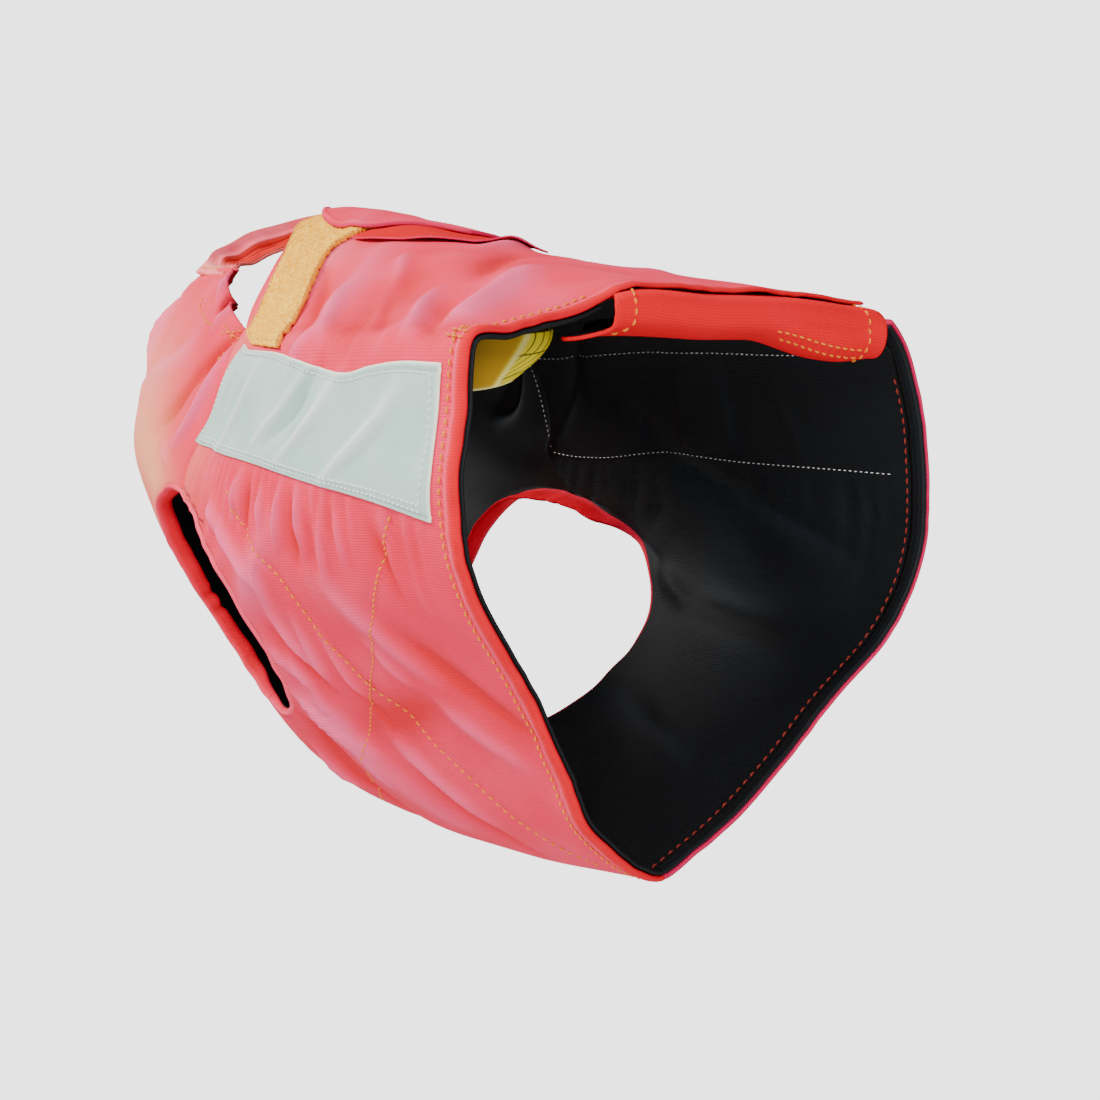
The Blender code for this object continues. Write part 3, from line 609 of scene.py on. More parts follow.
def woven(name, low, middle, high, sheen=0.12, painted_light=False, rough=0.82, specular=0.25):
    """Ribbed cloth: low is its colour in troughs as painted shade, high on ridges as a painted
    highlight, set by the fold mark and random noise.  With the flag set, marks add a warm
    painted highlight and painted shade."""
    n = Nodes(name)
    fold = n.mark("fold")
    patch = n.noise(22.0, 4.0)
    level = n.math("SUBTRACT", n.plus(n.times(fold, 0.75), n.times(patch, 0.9)), 0.45)
    # painted shade towards low in troughs, painted highlight towards high on ridges
    colour = n.mix(n.times(level, -1.3, True), middle, low)
    colour = n.mix(n.times(level, 0.9, True), colour, high)
    if painted_light:
        # peach painted highlight where the light falls full on the shoulder and chest
        colour = n.mix(n.times(n.mark("painted_light"), 0.75, True), colour, (244, 160, 118))
        # (92, 0, 22) is painted shade: the crease by the leg hole and the slit of the neck
        # corner's tuck
        colour = n.mix(n.mark("shade"), colour, (92, 0, 22))
    threads = n.plus(n.times(n.waves(THREAD), 0.7),
                     n.times(n.waves(THREAD * 0.8, axis=1), 0.3))
    dark = n.node("ShaderNodeHueSaturation", Value=0.80, Color=colour).outputs["Color"]
    colour = n.mix(n.times(n.math("SUBTRACT", 1.0, threads), RIB_SHADE, True), colour, dark)
    n.bump(n.plus(threads, n.times(n.noise(900.0, 2.0), 0.8)), 0.16 * MM, 0.9)
    return n.finish(colour, rough, sheen, middle, specular)


M = {}                      # every material by its key


def make_materials():
    """Fill M with every finish of the vest."""
    # each woven cloth's colours: painted shade in troughs, its own colour, painted highlight
    # on ridges
    M.update(
        outer=woven("outer_cloth", (212, 4, 34), (231, 28, 72), (239, 86, 130), painted_light=True),
        red=woven("red_cloth", (176, 0, 14), (204, 0, 20), (226, 16, 40), 0.0,
                  specular=0.06),
        roll=woven("roll_cloth", (212, 0, 16), (228, 4, 28), (240, 30, 50), 0.0,
                   specular=0.08),
        magenta=woven("magenta_edge", (180, 0, 64), (204, 4, 76), (226, 40, 110), 0.05),
        lining=woven("lining_cloth", (3, 5, 8), (7, 11, 15), (17, 24, 30), 0.05, rough=0.66),
        band=band_material(), loop=loop_material(), label=label_material(),
        binding=binding_material(), strap_in=strap_material(), hem=hem_material())
    for key, colour in (("orange_thread", (246, 138, 30)), ("white_thread", (250, 252, 250)),
                        ("yellow_thread", (244, 184, 60)), ("red_thread", (150, 40, 30))):
        n = Nodes(key)
        twist = n.noise(2500.0, 2.0)
        n.bump(twist, 0.08 * MM)
        dark = tuple(int(c * 0.72) for c in colour)
        M[key] = n.finish(n.mix(twist, dark, colour), 0.55)


def band_material():
    """Reflective tape with pale raw edges."""
    n = Nodes("reflective_cloth")
    colour = n.mix(n.noise(26.0, 4.0), (138, 182, 168), (188, 208, 200))
    # pale ridges of the tape's folds are a painted highlight
    colour = n.mix(n.times(n.mark("fold"), 0.6, True), colour, (230, 232, 232))
    colour = n.mix(n.times(n.mark("sewn"), 0.6), colour, (120, 142, 136))
    colour = n.mix(n.mark("edge"), colour, (226, 226, 208))
    n.bump(n.plus(n.waves(0.7 * MM), n.noise(1500.0, 2.0)), 0.05 * MM, 0.6)
    return n.finish(colour, 0.5, 0.1, specular=0.5)


def loop_material():
    """Woolly loop fastener."""
    n = Nodes("loop_fastener")
    wool = n.noise(420.0, 5.0)
    colour = n.mix(n.noise(60.0, 3.0), (228, 148, 4), (242, 174, 22))
    fleck = n.times(n.math("SUBTRACT", wool, 0.42), 5.0, True)
    colour = n.mix(fleck, colour, (250, 198, 72))
    colour = n.mix(n.mark("edge"), colour, (226, 140, 30))
    n.bump(wool, 1.0 * MM, 1.0)
    return n.finish(colour, 0.95, 0.1, (250, 210, 130), 0.1)


def binding_material():
    """Red binding, pink where the outer cloth is turned over it."""
    n = Nodes("red_binding")
    # the fold mark lightens the red on ridges as a painted highlight and darkens it at the
    # pinches as painted shade, besides random tone
    patch = n.plus(n.noise(70.0, 4.0), n.times(n.mark("fold"), 0.25))
    red = n.mix(patch, (184, 0, 22), (232, 0, 42))
    colour = n.mix(n.mark("pink"), red, (234, 74, 104))
    n.bump(n.plus(n.waves(1.0 * MM, axis=1), n.noise(900.0, 2.0)), 0.12 * MM, 0.8)
    return n.finish(colour, 0.85, specular=0.06)


def hem_material():
    """Rear hem of the left side: pink where it meets the panel, red at the rim."""
    n = Nodes("hem_cloth")
    pink = n.mix(n.noise(30.0), (232, 60, 88), (240, 100, 132))
    colour = n.mix(n.mark("red"), pink, n.mix(n.noise(80.0), (190, 0, 20), (222, 4, 36)))
    n.bump(n.waves(1.1 * MM, axis=1), 0.1 * MM, 0.7)
    return n.finish(colour, 0.85, specular=0.1)


def strap_material():
    """Strap's inner face: pink along its outer edge, red ribs below, black lower edge."""
    n = Nodes("strap_inner")
    across = n.mark("across")
    ribs = n.math("SINE", n.times(across, 44.0))
    patch = n.noise(90.0, 4.0)
    red = n.mix(patch, (160, 2, 12), (216, 26, 30))
    red = n.mix(n.times(ribs, 0.45, True), red, (238, 74, 50))
    pink = n.mix(patch, (230, 60, 84), (242, 112, 128))
    upper = n.times(n.math("SUBTRACT", 0.44, across), 30.0, True)
    lowest = n.times(n.math("SUBTRACT", across, 0.93), 40.0, True)
    colour = n.mix(lowest, n.mix(upper, red, pink), (20, 8, 12))
    colour = n.mix(n.mark("foot"), colour, n.mix(patch, (238, 96, 112), (244, 146, 140)))
    n.bump(n.plus(n.waves(0.9 * MM), n.times(ribs, 0.6)), 0.15 * MM, 0.9)
    return n.finish(colour, 0.85, specular=0.08)


def label_material():
    """Yellow tape with a ruled grid of boxes on its outer end."""
    n = Nodes("label_tape")
    uv = n.node("ShaderNodeUVMap", {"uv_map": "cloth"}).outputs["UV"]
    lines = n.node("ShaderNodeTexBrick", {"offset": 0.0, "squash": 1.0}, Vector=uv,
                   Color1=(0, 0, 0, 1), Color2=(0, 0, 0, 1), Mortar=(1, 1, 1, 1),
                   Scale=1.0, Mortar_Size=0.4 * MM, Brick_Width=8.5 * MM,
                   Row_Height=4.2 * MM)
    colour = n.mix(n.noise(40.0, 2.0), (206, 184, 6), (226, 208, 24))
    ink = n.times(lines.outputs["Color"], n.times(n.mark("ruled"), 0.9))
    colour = n.mix(ink, colour, (72, 70, 4))
    colour = n.mix(n.mark("deep"), colour, (176, 132, 2))
    colour = n.mix(n.mark("pale"), colour, (226, 216, 130))
    n.bump(n.waves(0.5 * MM), 0.03 * MM)
    return n.finish(colour, 0.5)


# ---------------------------------------------------------------- panels
def seam_dip(u, v, hole, side):
    """Cloth sinks towards the seam between a side panel and the chest panel."""
    around = np.abs(u)
    away = (seam_line(around, hole, side) - v) * ALONG
    return -1.0 * MM * smear(away, 2.2 * MM) * ease(around, CORNER_U, CORNER_U + 0.01)


def turned_under(away, above, sunk):
    """Cloth turned under once: thicker for 5 mm from its edge, sunk at its stitches."""
    return above * (away < 5 * MM) - sunk * smear(away - 5.5 * MM, 1.3 * MM)


def neck_hem(u, v):
    """The side panels' edge round the neck."""
    away = (through(NECK_EDGE, np.abs(u)) - v) * ALONG
    here = 1 - ease(np.abs(u), CORNER_U - 0.02, CORNER_U)
    return here * turned_under(away, 0.5 * MM * (away > 0), 0.45 * MM)


def topstitch_dip(u, v):
    """Cloth sinks under the two long topstitched seams and beside the rear hem."""
    total = -0.7 * MM * smear((v - 0.0185) * ALONG, 1.6 * MM)
    for line in (SEAM_A, SEAM_B):
        away = np.full(u.shape, 9.0)
        for pu, pv in along_rows(line, 60):
            away = np.minimum(away, np.hypot((u - pu) * AROUND, (v - pv) * ALONG))
        total -= 0.9 * MM * smear(away, 3.0 * MM)
    return total


def side_panels():
    """The outer side panels, which also cover the back, and their linings."""
    outer, lining = (M["outer"], M["lining"], M["outer"]), (M["lining"],) * 3
    u, v = side_grid(1, LAP_U, LEFT_HOLE, LEFT_THREADS, left_start)
    sunk = seam_dip(u, v, LEFT_HOLE, -1)
    # turned: a crease line 4.6 mm off the left leg hole's rear edge, sunk and darkened as
    # painted shade
    turned = smear(hole_ring(u, v, LEFT_HOLE) * 0.055 - 4.6 * MM, 0.8 * MM) \
        * (1 - ease(u, 0.62, 0.72)) * (v < 0.60)
    top = sunk + neck_hem(u, v) + topstitch_dip(u, v) - 0.6 * MM * turned
    # a warm painted highlight on the near shoulder
    painted_light = 0.35 * smear(u - 0.40, 0.25) * smear(v - 0.62, 0.10)
    cloth("left_panel_cloth", u, v, top, SHELL, outer, {"painted_light": painted_light, "shade": 0.7 * turned})
    part = np.s_[::2, np.flatnonzero(u[-1] > BACK_LINING_U)[0]:]
    cloth("left_lining_cloth", u[part], v[part], sunk[part] - BEHIND, LINING, lining)
    u, v = side_grid(-1, UNDERLAP_U, RIGHT_HOLE, RIGHT_THREADS, right_start)
    sunk = seam_dip(u, v, RIGHT_HOLE, -1) + tuck(u)
    cloth("right_panel_cloth", u, v, sunk + neck_hem(u, v) * (u < -0.31), SHELL, outer)
    cloth("right_lining_cloth", u[::2], v[::2], sunk[::2] - BEHIND, LINING, lining)


def chest_grid(short=0.0):
    """Parameters of the chest panel, its threads spread evenly along the throat, which
    short brings back in v."""
    low, high = [], []
    for hole in (LEFT_HOLE, RIGHT_HOLE):
        across = hole_columns(hole)
        upper = CORNER_U + 0.003 + (across[0] - CORNER_U - 0.003) \
            * np.linspace(0.0, 1.0, HOLE_STEPS)[:-1] ** 1.5
        under = np.linspace(across[-1], 1.0, BELLY_STEPS)[1:]
        low.append(np.concatenate((upper, across, under)))
        even = np.linspace(across[0], across[-1], HOLE_STEPS)
        high.append(np.concatenate((upper, even, under)))
    low, high = (np.concatenate((k[0], 2.0 - k[1][-2::-1])) for k in (low, high))
    left = low < 1.0
    around = np.where(left, low, 2.0 - low)
    v_low = np.where(left, seam_line(around, LEFT_HOLE, 1), seam_line(around, RIGHT_HOLE, 1))
    v_high = through(THROAT_EDGE, np.where(high < 1.0, high, 2.0 - high))
    t = np.linspace(0.0, 1.0, CHEST_ROWS)[:, None]
    u = low + (high - low) * t
    v = v_low + (v_high - short - v_low) * t
    u = u + (1.1 * short - 0.030 * smear(v - 0.905 + short, 0.035)) \
        * (1 - ease(u, 0.34, 0.48)) * ease(v, 0.60, 0.70)
    return np.where(u > 1.0, u - 2.0, u), v


def chest_dip(u, v):
    """Dips of the chest panel's seams."""
    return np.where(u > 0, seam_dip(u, v, LEFT_HOLE, 1), seam_dip(u, v, RIGHT_HOLE, 1))


def chest():
    """Outer chest panel and its lining, which ends short of the throat."""
    u, v = chest_grid()
    edge = (through(THROAT_EDGE, np.abs(u)) - v) * 0.40     # roughly metres
    top = chest_dip(u, v) + turned_under(edge, 0.5 * MM, 0.4 * MM)
    # the chest's peach painted highlight
    painted_light = smear(u - 0.60, 0.12) * smear(v - 0.80, 0.10) \
        + 0.8 * smear(u - 0.56, 0.06) * smear(v - 0.70, 0.08)
    # shade: painted shadow along the slit of the neck corner's tuck
    shade = smear(v - 0.838 - 0.30 * (u - 0.30), 0.006) * (u > 0) * (1 - ease(u, 0.33, 0.35))
    cloth("chest_panel_cloth", u, v, top, SHELL, (M["outer"], M["red"], M["outer"]),
          {"painted_light": painted_light, "shade": shade})
    u, v = (k[::2] for k in chest_grid(LINING_SHORT))
    cloth("chest_lining_cloth", u, v, chest_dip(u, v) - BEHIND, LINING, (M["lining"],) * 3)


# ---------------------------------------------------------------- hems and bindings
# v, depth in mm, and how red
HEM_SECTION = np.array([
    (0.0165, -0.70, 0.0), (0.0140, 0.05, 0.1), (0.0115, 0.18, 0.5), (0.0085, 0.22, 0.9),
    (0.0050, 0.05, 1.0), (0.0022, -0.45, 1.0), (0.0004, -1.20, 1.0), (0.0006, -2.10, 1.0),
    (0.0040, -2.60, 1.0), (0.0120, -2.50, 1.0), (0.0180, -2.00, 1.0),
])
INNER_HEM_SECTION = np.array([
    (0.0190, -3.60, 0.0), (0.0130, -2.95, 0.0), (0.0040, -2.90, 0.0), (0.0012, -3.15, 0.0),
    (0.0004, -3.80, 0.0), (0.0012, -4.50, 0.0), (0.0050, -4.90, 0.0), (0.0130, -4.70, 0.0),
])


def hem(name, u, section, material, thin=1.0):
    """A rolled rear hem along u, with a section's depths times thin."""
    u, v = np.broadcast_arrays(u[:, None], section[:, 0])
    wobble = 0.12 * MM * np.sin(140 * u + 2.0 * np.sin(47 * u))
    depth = section[:, 1] * MM * np.reshape(thin, (-1, 1)) + wobble
    marks = {"red": np.broadcast_to(section[:, 2], v.shape).ravel(),
             "fold": relief(u, v).ravel() / FOLD_UNIT}
    loft(name, skin(u, v, depth), (material,), False, marks)


def hems():
    """Rolled rear hems, red at the rim, with the lining's black edge inside them."""
    u = np.linspace(LAP_U, 1.0, 420)
    hem("left_rear_hem_roll", u, HEM_SECTION, M["hem"], 0.66 + 0.34 * ease(u, 0.13, 0.22))
    hem("left_hem_lining", np.linspace(0.17, 1.0, 300), INNER_HEM_SECTION, M["lining"])
    u = np.linspace(-1.0, -0.315, 300)
    hem("right_rear_hem_roll", u, HEM_SECTION, M["magenta"])
    hem("right_hem_lining", u, INNER_HEM_SECTION, M["lining"])


# across and depth in mm, share of the facing's depth, and how pink
FACING_SECTION = np.array([
    (2.5, -1.4, 0.00, 1.0), (2.0, -0.2, 0.00, 1.0), (1.1, 0.45, 0.00, 1.0),
    (0.2, 0.30, 0.00, 0.8), (-0.5, -0.5, 0.05, 0.4), (-0.9, -1.2, 0.30, 0.0),
    (-1.0, -1.2, 0.65, 0.0), (-0.5, -1.3, 1.00, 0.0), (0.4, -1.5, 1.03, 0.0),
    (1.2, -1.3, 0.95, 0.0), (1.4, -1.6, 0.45, 0.0), (2.4, -1.8, 0.00, 0.5),
])


def leg_binding(name, hole, side, deep):
    """Binding of a leg hole: a cloth facing turned in, deepest on the hole's front edge."""
    angle = np.linspace(0.0, 2 * np.pi, 361)[:-1]
    u0, v0, half_u, half_v, lean, bow = hole
    sine, cosine = np.sin(angle), np.cos(angle)
    u = side * (u0 + half_u * cosine)
    v = v0 + lean * cosine + bow * sine ** 2 + half_v * sine
    middle, out = skin(u, v), outward(u, v)
    run = unit(np.roll(middle, -1, axis=0) - np.roll(middle, 1, axis=0))
    away = unit(np.cross(run, out)) * side
    away *= np.sign(np.sum(away * (middle - middle.mean(axis=0)), axis=-1).mean())
    front = ease(sine, -0.30, 0.50) if side > 0 else ease(sine - 0.6 * cosine, -0.50, 0.30)
    pinch = smear(angle - 0.97, 0.03) + smear(angle - 0.84, 0.03)
    facing = (1.6 + deep * front) * (1 + 0.08 * np.sin(5 * angle + 1) * front - 0.20 * pinch)
    width = 1.0 + 0.09 * np.sin(7 * angle) + 0.04 * np.sin(13 * angle) - 0.12 * pinch
    buckle = 0.22 * np.sin(14 * angle + 2 * np.sin(5 * angle)) * front
    # fold only colours the binding: painted highlight on its waves, painted shade at the
    # pinches
    fold = 0.5 * np.sin(13 * angle) * np.sin(5 * angle) - 2.0 * pinch
    front, facing, width, buckle, fold = (k[:, None] for k in
                                          (front, facing, width, buckle, fold))
    across, depth, share, lip = FACING_SECTION.T
    a = across * np.ones(width.shape)
    a[:, 1:9] *= width
    a, d = a + buckle * share, depth - share * facing
    rings = middle[:, None] + MM * (away[:, None] * a[..., None] + out[:, None] * d[..., None])
    pink = lip * (1.0 - 0.30 * front) + (1 - front) * 0.35
    marks = {"fold": (fold + 0 * a).ravel(), "pink": np.clip(pink, 0, 1).ravel()}
    loft(name, rings, (M["binding"],), True, marks)


# ---------------------------------------------------------------- what lies on the panels
def to_nearer_end(points, axis):
    """Metres from each point of a grid to the nearer end of its line along an axis."""
    step = np.linalg.norm(np.gradient(points, axis=axis), axis=-1)
    before = np.cumsum(step, axis) - np.take(step, [0], axis)
    return np.minimum(before, np.flip(np.cumsum(np.flip(step, axis), axis), axis))


def overlay(name, u, v, top, thick, material, margin):
    """A strip on a panel, its raw edges and its stitch rows marked and sunk."""
    points = skin(u, v)
    across, along = to_nearer_end(points, 1), to_nearer_end(points, 0)
    edge = 1 - ease(np.minimum(across, along), margin * 0.6, margin)
    sewn = np.maximum(smear(across - 2.6 * MM, 0.5 * MM), smear(along - 2.9 * MM, 0.5 * MM))
    cloth(name, u, v, top - 0.20 * MM * edge - 0.25 * MM * sewn, thick, (material,) * 3,
          {"edge": edge, "sewn": sewn})


def band_grid(side):
    """Parameters of a reflective band: columns across it, rows from rear to front."""
    t = np.linspace(0.0, 1.0, 150)[:, None]
    s = np.linspace(0.0, 1.0, 64)[None, :]
    top, low = LEFT_BAND if side > 0 else RIGHT_BAND
    v = (top[0, 0] + (top[-1, 0] - top[0, 0]) * t) * (1 - s) \
        + (low[0, 0] + (low[-1, 0] - low[0, 0]) * t) * s
    v = v - 0.016 * t ** 4 * np.sin(np.pi * s) * (side > 0)
    u = through(top, v) * (1 - s) + through(low, v) * s
    return side * u, v


def bands():
    """The two reflective bands."""
    for name, side in (("left_band_tape", 1), ("right_band_tape", -1)):
        overlay(name, *band_grid(side), BAND_TOP, TRIM, M["band"], 0.5 * MM)


def strip_grid():
    """Parameters of the loop strip, along the left panel's neck edge."""
    t = np.linspace(0.0, 1.0, 90)[:, None]
    front_u, front_v = along_rows(STRIP_FRONT, 74).T
    rear_u, rear_v = along_rows(STRIP_REAR, 74).T
    return rear_u + (front_u - rear_u) * t, rear_v + (front_v - rear_v) * t


FIBRES = 2600               # standing fibres of the loop strip


def loop_strip():
    """Woolly strip with a rough face and a few standing fibres."""
    u, v = strip_grid()
    rough = 0.34 * MM * np.random.default_rng(4).normal(size=u.shape)
    overlay("loop_strip_wool", u, v, STRIP_TOP + rough, SHELL, M["loop"], 1.2 * MM)
    rng = np.random.default_rng(9)
    pick = tuple(rng.integers(1, size - 1, FIBRES) for size in u.shape)
    foot, out = skin(u[pick], v[pick], 2.0 * MM), outward(u[pick], v[pick])
    lean = unit(rng.normal(size=foot.shape)) * 0.7
    tip = foot + unit(out + lean) * rng.uniform(0.7, 1.5, (FIBRES, 1)) * MM
    wide = unit(np.cross(out, lean)) * 0.09 * MM
    faces = [(i, i + FIBRES, i + 2 * FIBRES) for i in range(FIBRES)]
    fibres = new_mesh("loop_strip_fibres", np.concatenate((foot - wide, foot + wide, tip)),
                      faces, (M["loop"],))
    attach(fibres, "root")


# ---------------------------------------------------------------- stitches
def resample(points, normals, step):
    """Points and normals every step metres along a line."""
    lengths = np.concatenate(((0.0,), np.cumsum(np.linalg.norm(np.diff(points, axis=0),
                                                                axis=-1))))
    at = np.arange(0.0, lengths[-1], step)
    points, normals = (np.stack([np.interp(at, lengths, column) for column in values.T], -1)
                       for values in (points, normals))
    return points, unit(normals)


def stitches(name, lines, material, long=3.0 * MM, gap=1.1 * MM, thick=0.52 * MM):
    """Rows of stitches.  Each line is points and normals."""
    parts, sides = 6, 6     # steps of a stitch with its gap, and faces round its thread
    angle = np.linspace(0, 2 * np.pi, sides + 1)[:-1]
    points, faces, start = [], [], 0
    for line, normals in lines:
        step = (long + gap) / parts
        p, n = resample(line, normals, step)
        used = 1 + int(round(parts * long / (long + gap)))
        for first in range(0, len(p) - used, parts):
            seg, nor = p[first:first + used], n[first:first + used]
            run = unit(np.gradient(seg, axis=0))
            side = unit(np.cross(nor, run))
            t = np.linspace(0, 1, used)
            swell = thick * (0.35 + 0.65 * np.sin(np.pi * t) ** 0.5)
            arch = nor * (thick * 0.7 * (np.sin(np.pi * t) - 0.35))[:, None]
            ring = (seg + arch)[:, None] + swell[:, None, None] \
                * (side[:, None] * np.cos(angle)[None, :, None]
                   + nor[:, None] * np.sin(angle)[None, :, None])
            points.append(ring.reshape(-1, 3))
            for i in range(used - 1):
                a, b = start + sides * i, start + sides * (i + 1)
                for j in range(sides):
                    k = (j + 1) % sides
                    faces.append((a + j, a + k, b + k, b + j))
            end = start + sides * used
            faces.append(tuple(range(start + sides - 1, start - 1, -1)))
            faces.append(tuple(range(end - sides, end)))
            start = end
    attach(new_mesh(name, np.vstack(points), faces, (material,)), "root")


def row_on(u, v, depth, inside=False):
    """A stitch line through points of the cloth, facing out or in."""
    normal = outward(u, v)
    return skin(u, v, depth), -normal if inside else normal


def line_on(table, depth, count, inside=False):
    """A stitch line along a smooth curve through a few (u, v) points."""
    return row_on(*along_rows(table, count).T, depth, inside)


def band_rows():
    """Stitch lines on the bands, and those of them that also show on the linings."""
    faces, linings = [], []
    for side in (1, -1):
        u, v = band_grid(side)
        # a line of the grid, its shift in u on the lining, and whether it shows there
        for pick, shift, shows in ((np.s_[3:-3, 3], 0.012 * (side < 0), True),
                                   (np.s_[3:-3, -4], 0.0, True),
                                   (np.s_[3:-3, -7], 0.0, False),
                                   (np.s_[3, 3:-3], 0.0, side > 0),
                                   (np.s_[-4, 3:-3], 0.0, True)):
            faces.append(row_on(u[pick], v[pick], 1.0 * MM))
            if shows:
                at = u[pick] + shift
                linings.append(row_on(at, v[pick], -3.45 * MM + tuck(at) * (side < 0), True))
    return faces, linings


# Bar tacks at the neck's near corner, the arc across the chest's top, tacks at the hem.
TACKS = (
    ((0.332, 0.765), (0.306, 0.705)), ((0.324, 0.780), (0.314, 0.650)),
    ((0.350, 0.700), (0.318, 0.735)),
    ((0.512, 0.936), (0.492, 0.920), (0.440, 0.898), (0.380, 0.862), (0.345, 0.815)),
    ((0.337, 0.030), (0.342, 0.003)), ((0.345, 0.032), (0.349, 0.004)),
    ((0.330, 0.019), (0.352, 0.022)),
)


def all_stitches(rolled, joint):
    """Sewing that shows, with the rows given on the roll and the strap."""
    rows = [line_on(((start, v), (end, v)), -0.30 * MM, count) for start, end, v, count in
            ((0.345, 0.99, 0.0205, 900), (0.17, 0.34, 0.0215, 500),
             (-0.99, -0.40, 0.0205, 900))]
    rows += [line_on(SEAM_A, -0.62 * MM, 700), line_on(SEAM_B, -0.62 * MM, 500)]
    rows += [line_on(line, (0.55 if line[0][1] < 0.1 else 0.1) * MM, 60) for line in TACKS]
    stitches("topstitching", rows + rolled, M["orange_thread"])
    rows = [line_on(((start, 0.0235), (end, 0.0235)), -3.35 * MM, 900, True)
            for start, end in ((0.35, 0.99), (-0.99, -0.375))]
    stitches("inner_topstitching", rows, M["red_thread"], 3.4 * MM, 1.4 * MM)
    faces, linings = band_rows()
    stitches("band_stitching", faces, M["white_thread"], 2.1 * MM, 0.9 * MM, 0.42 * MM)
    stitches("inner_band_stitching", linings, M["white_thread"], 1.7 * MM, 1.5 * MM, 0.30 * MM)
    u, v = strip_grid()
    rows = [row_on(u[pick], v[pick], 2.3 * MM) for pick in (1, -3, np.s_[:, -2])]
    stitches("strip_stitching", rows, M["yellow_thread"], 2.2 * MM, 0.8 * MM, 0.28 * MM)
    stitches("strap_stitching", [joint], M["yellow_thread"], 2.6 * MM, 0.9 * MM, 0.50 * MM)


# ---------------------------------------------------------------- roll, strap, tab, label
# The roll's section: y and z in mm, share of the lobe's drop, share of the slant.
ROLL = np.array([
    (-15.0, -3.6, 0.00, 0.0), (-6.0, -3.4, 0.00, 0.0), (1.0, -3.5, 0.00, 0.2),
    (6.0, -6.0, 0.10, 0.35), (8.0, -10.5, 0.45, 0.40), (6.4, -15.3, 0.80, 0.45),
    (0.5, -18.4, 1.00, 0.8), (-8.0, -19.0, 1.00, 0.9), (-16.0, -17.2, 1.00, 0.3),
    (-23.0, -14.0, 1.00, 0.0),
])
ROLL_U, LOBE_DROP, ROLL_SLANT = (0.134, -0.268), 6.0 * MM, 24.0 * MM
# The strap's outer edge and inner edge, and how far it arches in mm, from its foot on
# the chest panel.
STRAP_TABLE = np.array([
    (0.0568, -0.1918, -0.0085, 0.0568, -0.1550, -0.0105, 0.8),
    (0.0545, -0.1908, -0.0055, 0.0530, -0.1570, -0.0078, 1.2),
    (0.052, -0.190, -0.003, 0.048, -0.158, -0.006, 2.0),
    (0.040, -0.208, 0.0035, 0.036, -0.180, -0.0035, 2.5),
    (0.024, -0.222, 0.009, 0.022, -0.194, -0.002, 3.0),
    (0.008, -0.229, 0.0165, 0.006, -0.206, 0.004, 3.0),
    (-0.010, -0.230, 0.022, -0.012, -0.214, 0.0095, 2.5),
    (-0.027, -0.222, 0.0275, -0.027, -0.212, 0.014, 2.0),
    (-0.038, -0.204, 0.030, -0.042, -0.198, 0.017, 2.0),
    (-0.036, -0.184, 0.029, -0.048, -0.178, 0.016, 2.0),
    (-0.024, -0.164, 0.0275, -0.047, -0.158, 0.015, 2.0),
    (-0.007, -0.148, 0.0255, -0.038, -0.140, 0.0165, 1.0),
    (0.0075, -0.1375, 0.0245, -0.027, -0.1235, 0.0195, 0.0),
])
# Points of the label's upper edge, from one sewn end round its fold to the other.
LABEL = np.array([
    (0.1060, 0.1420, -0.0405), (0.0940, 0.1370, -0.0400), (0.0800, 0.1350, -0.0390),
    (0.0690, 0.1350, -0.0380), (0.0625, 0.1375, -0.0370), (0.0600, 0.1420, -0.0365),
    (0.0625, 0.1465, -0.0370), (0.0690, 0.1490, -0.0380), (0.0800, 0.1490, -0.0390),
    (0.0940, 0.1490, -0.0400), (0.1050, 0.1490, -0.0405),
])


def plate(name, middle, thick, materials, marks=None):
    """A wall of even thickness about a grid of points."""
    across, along = np.gradient(middle, axis=1), np.gradient(middle, axis=0)
    lift = unit(np.cross(across, along)) * 0.5 * thick
    s = np.cumsum(np.linalg.norm(across, axis=-1), axis=1)
    t = np.cumsum(np.linalg.norm(along, axis=-1), axis=0)
    return shell(name, middle + lift, middle - lift, materials, np.stack((s, t), -1), marks)


def over_plate(middle, thick):
    """Points just above a plate's first face, for stitches, and the way they face."""
    face = unit(np.cross(np.gradient(middle, axis=1), np.gradient(middle, axis=0)))
    return middle + face * (0.5 * thick + 0.12 * MM), face


def rear_roll():
    """Rolled rear end of the right panel's flap.  Returns the stitch lines on it."""
    u = np.linspace(*ROLL_U, 120)[:, None]
    y_mm, z_mm, lower, slant = along_rows(ROLL, 60).T
    lobe, corner = ease(-u, 0.07, 0.20), ease(-u, 0.225, 0.275)
    crease = lobe * (1 - corner) * smear(z_mm + 11.5 + 14 * (u + 0.12), 1.1)
    x = slant * ease(u, 0.02, ROLL_U[0]) * ROLL_SLANT
    y = MM * (y_mm - lower * corner * (y_mm - y_mm.max()) * 0.5 - 1.1 * crease)
    z = MM * z_mm - lower * lobe * LOBE_DROP * (1 - 0.5 * corner)
    middle = base(u, 0.0) + np.stack(np.broadcast_arrays(x, y, z), axis=-1)
    plate("rear_roll_cloth", middle, SHELL, (M["roll"], M["lining"], M["red"]))
    top, face = over_plate(middle, SHELL)
    return [(top[pick], face[pick]) for pick in
            (np.s_[7, 6:40], np.s_[-9, 6:44], np.s_[66:-9, 33], np.s_[70:-9, 37])]


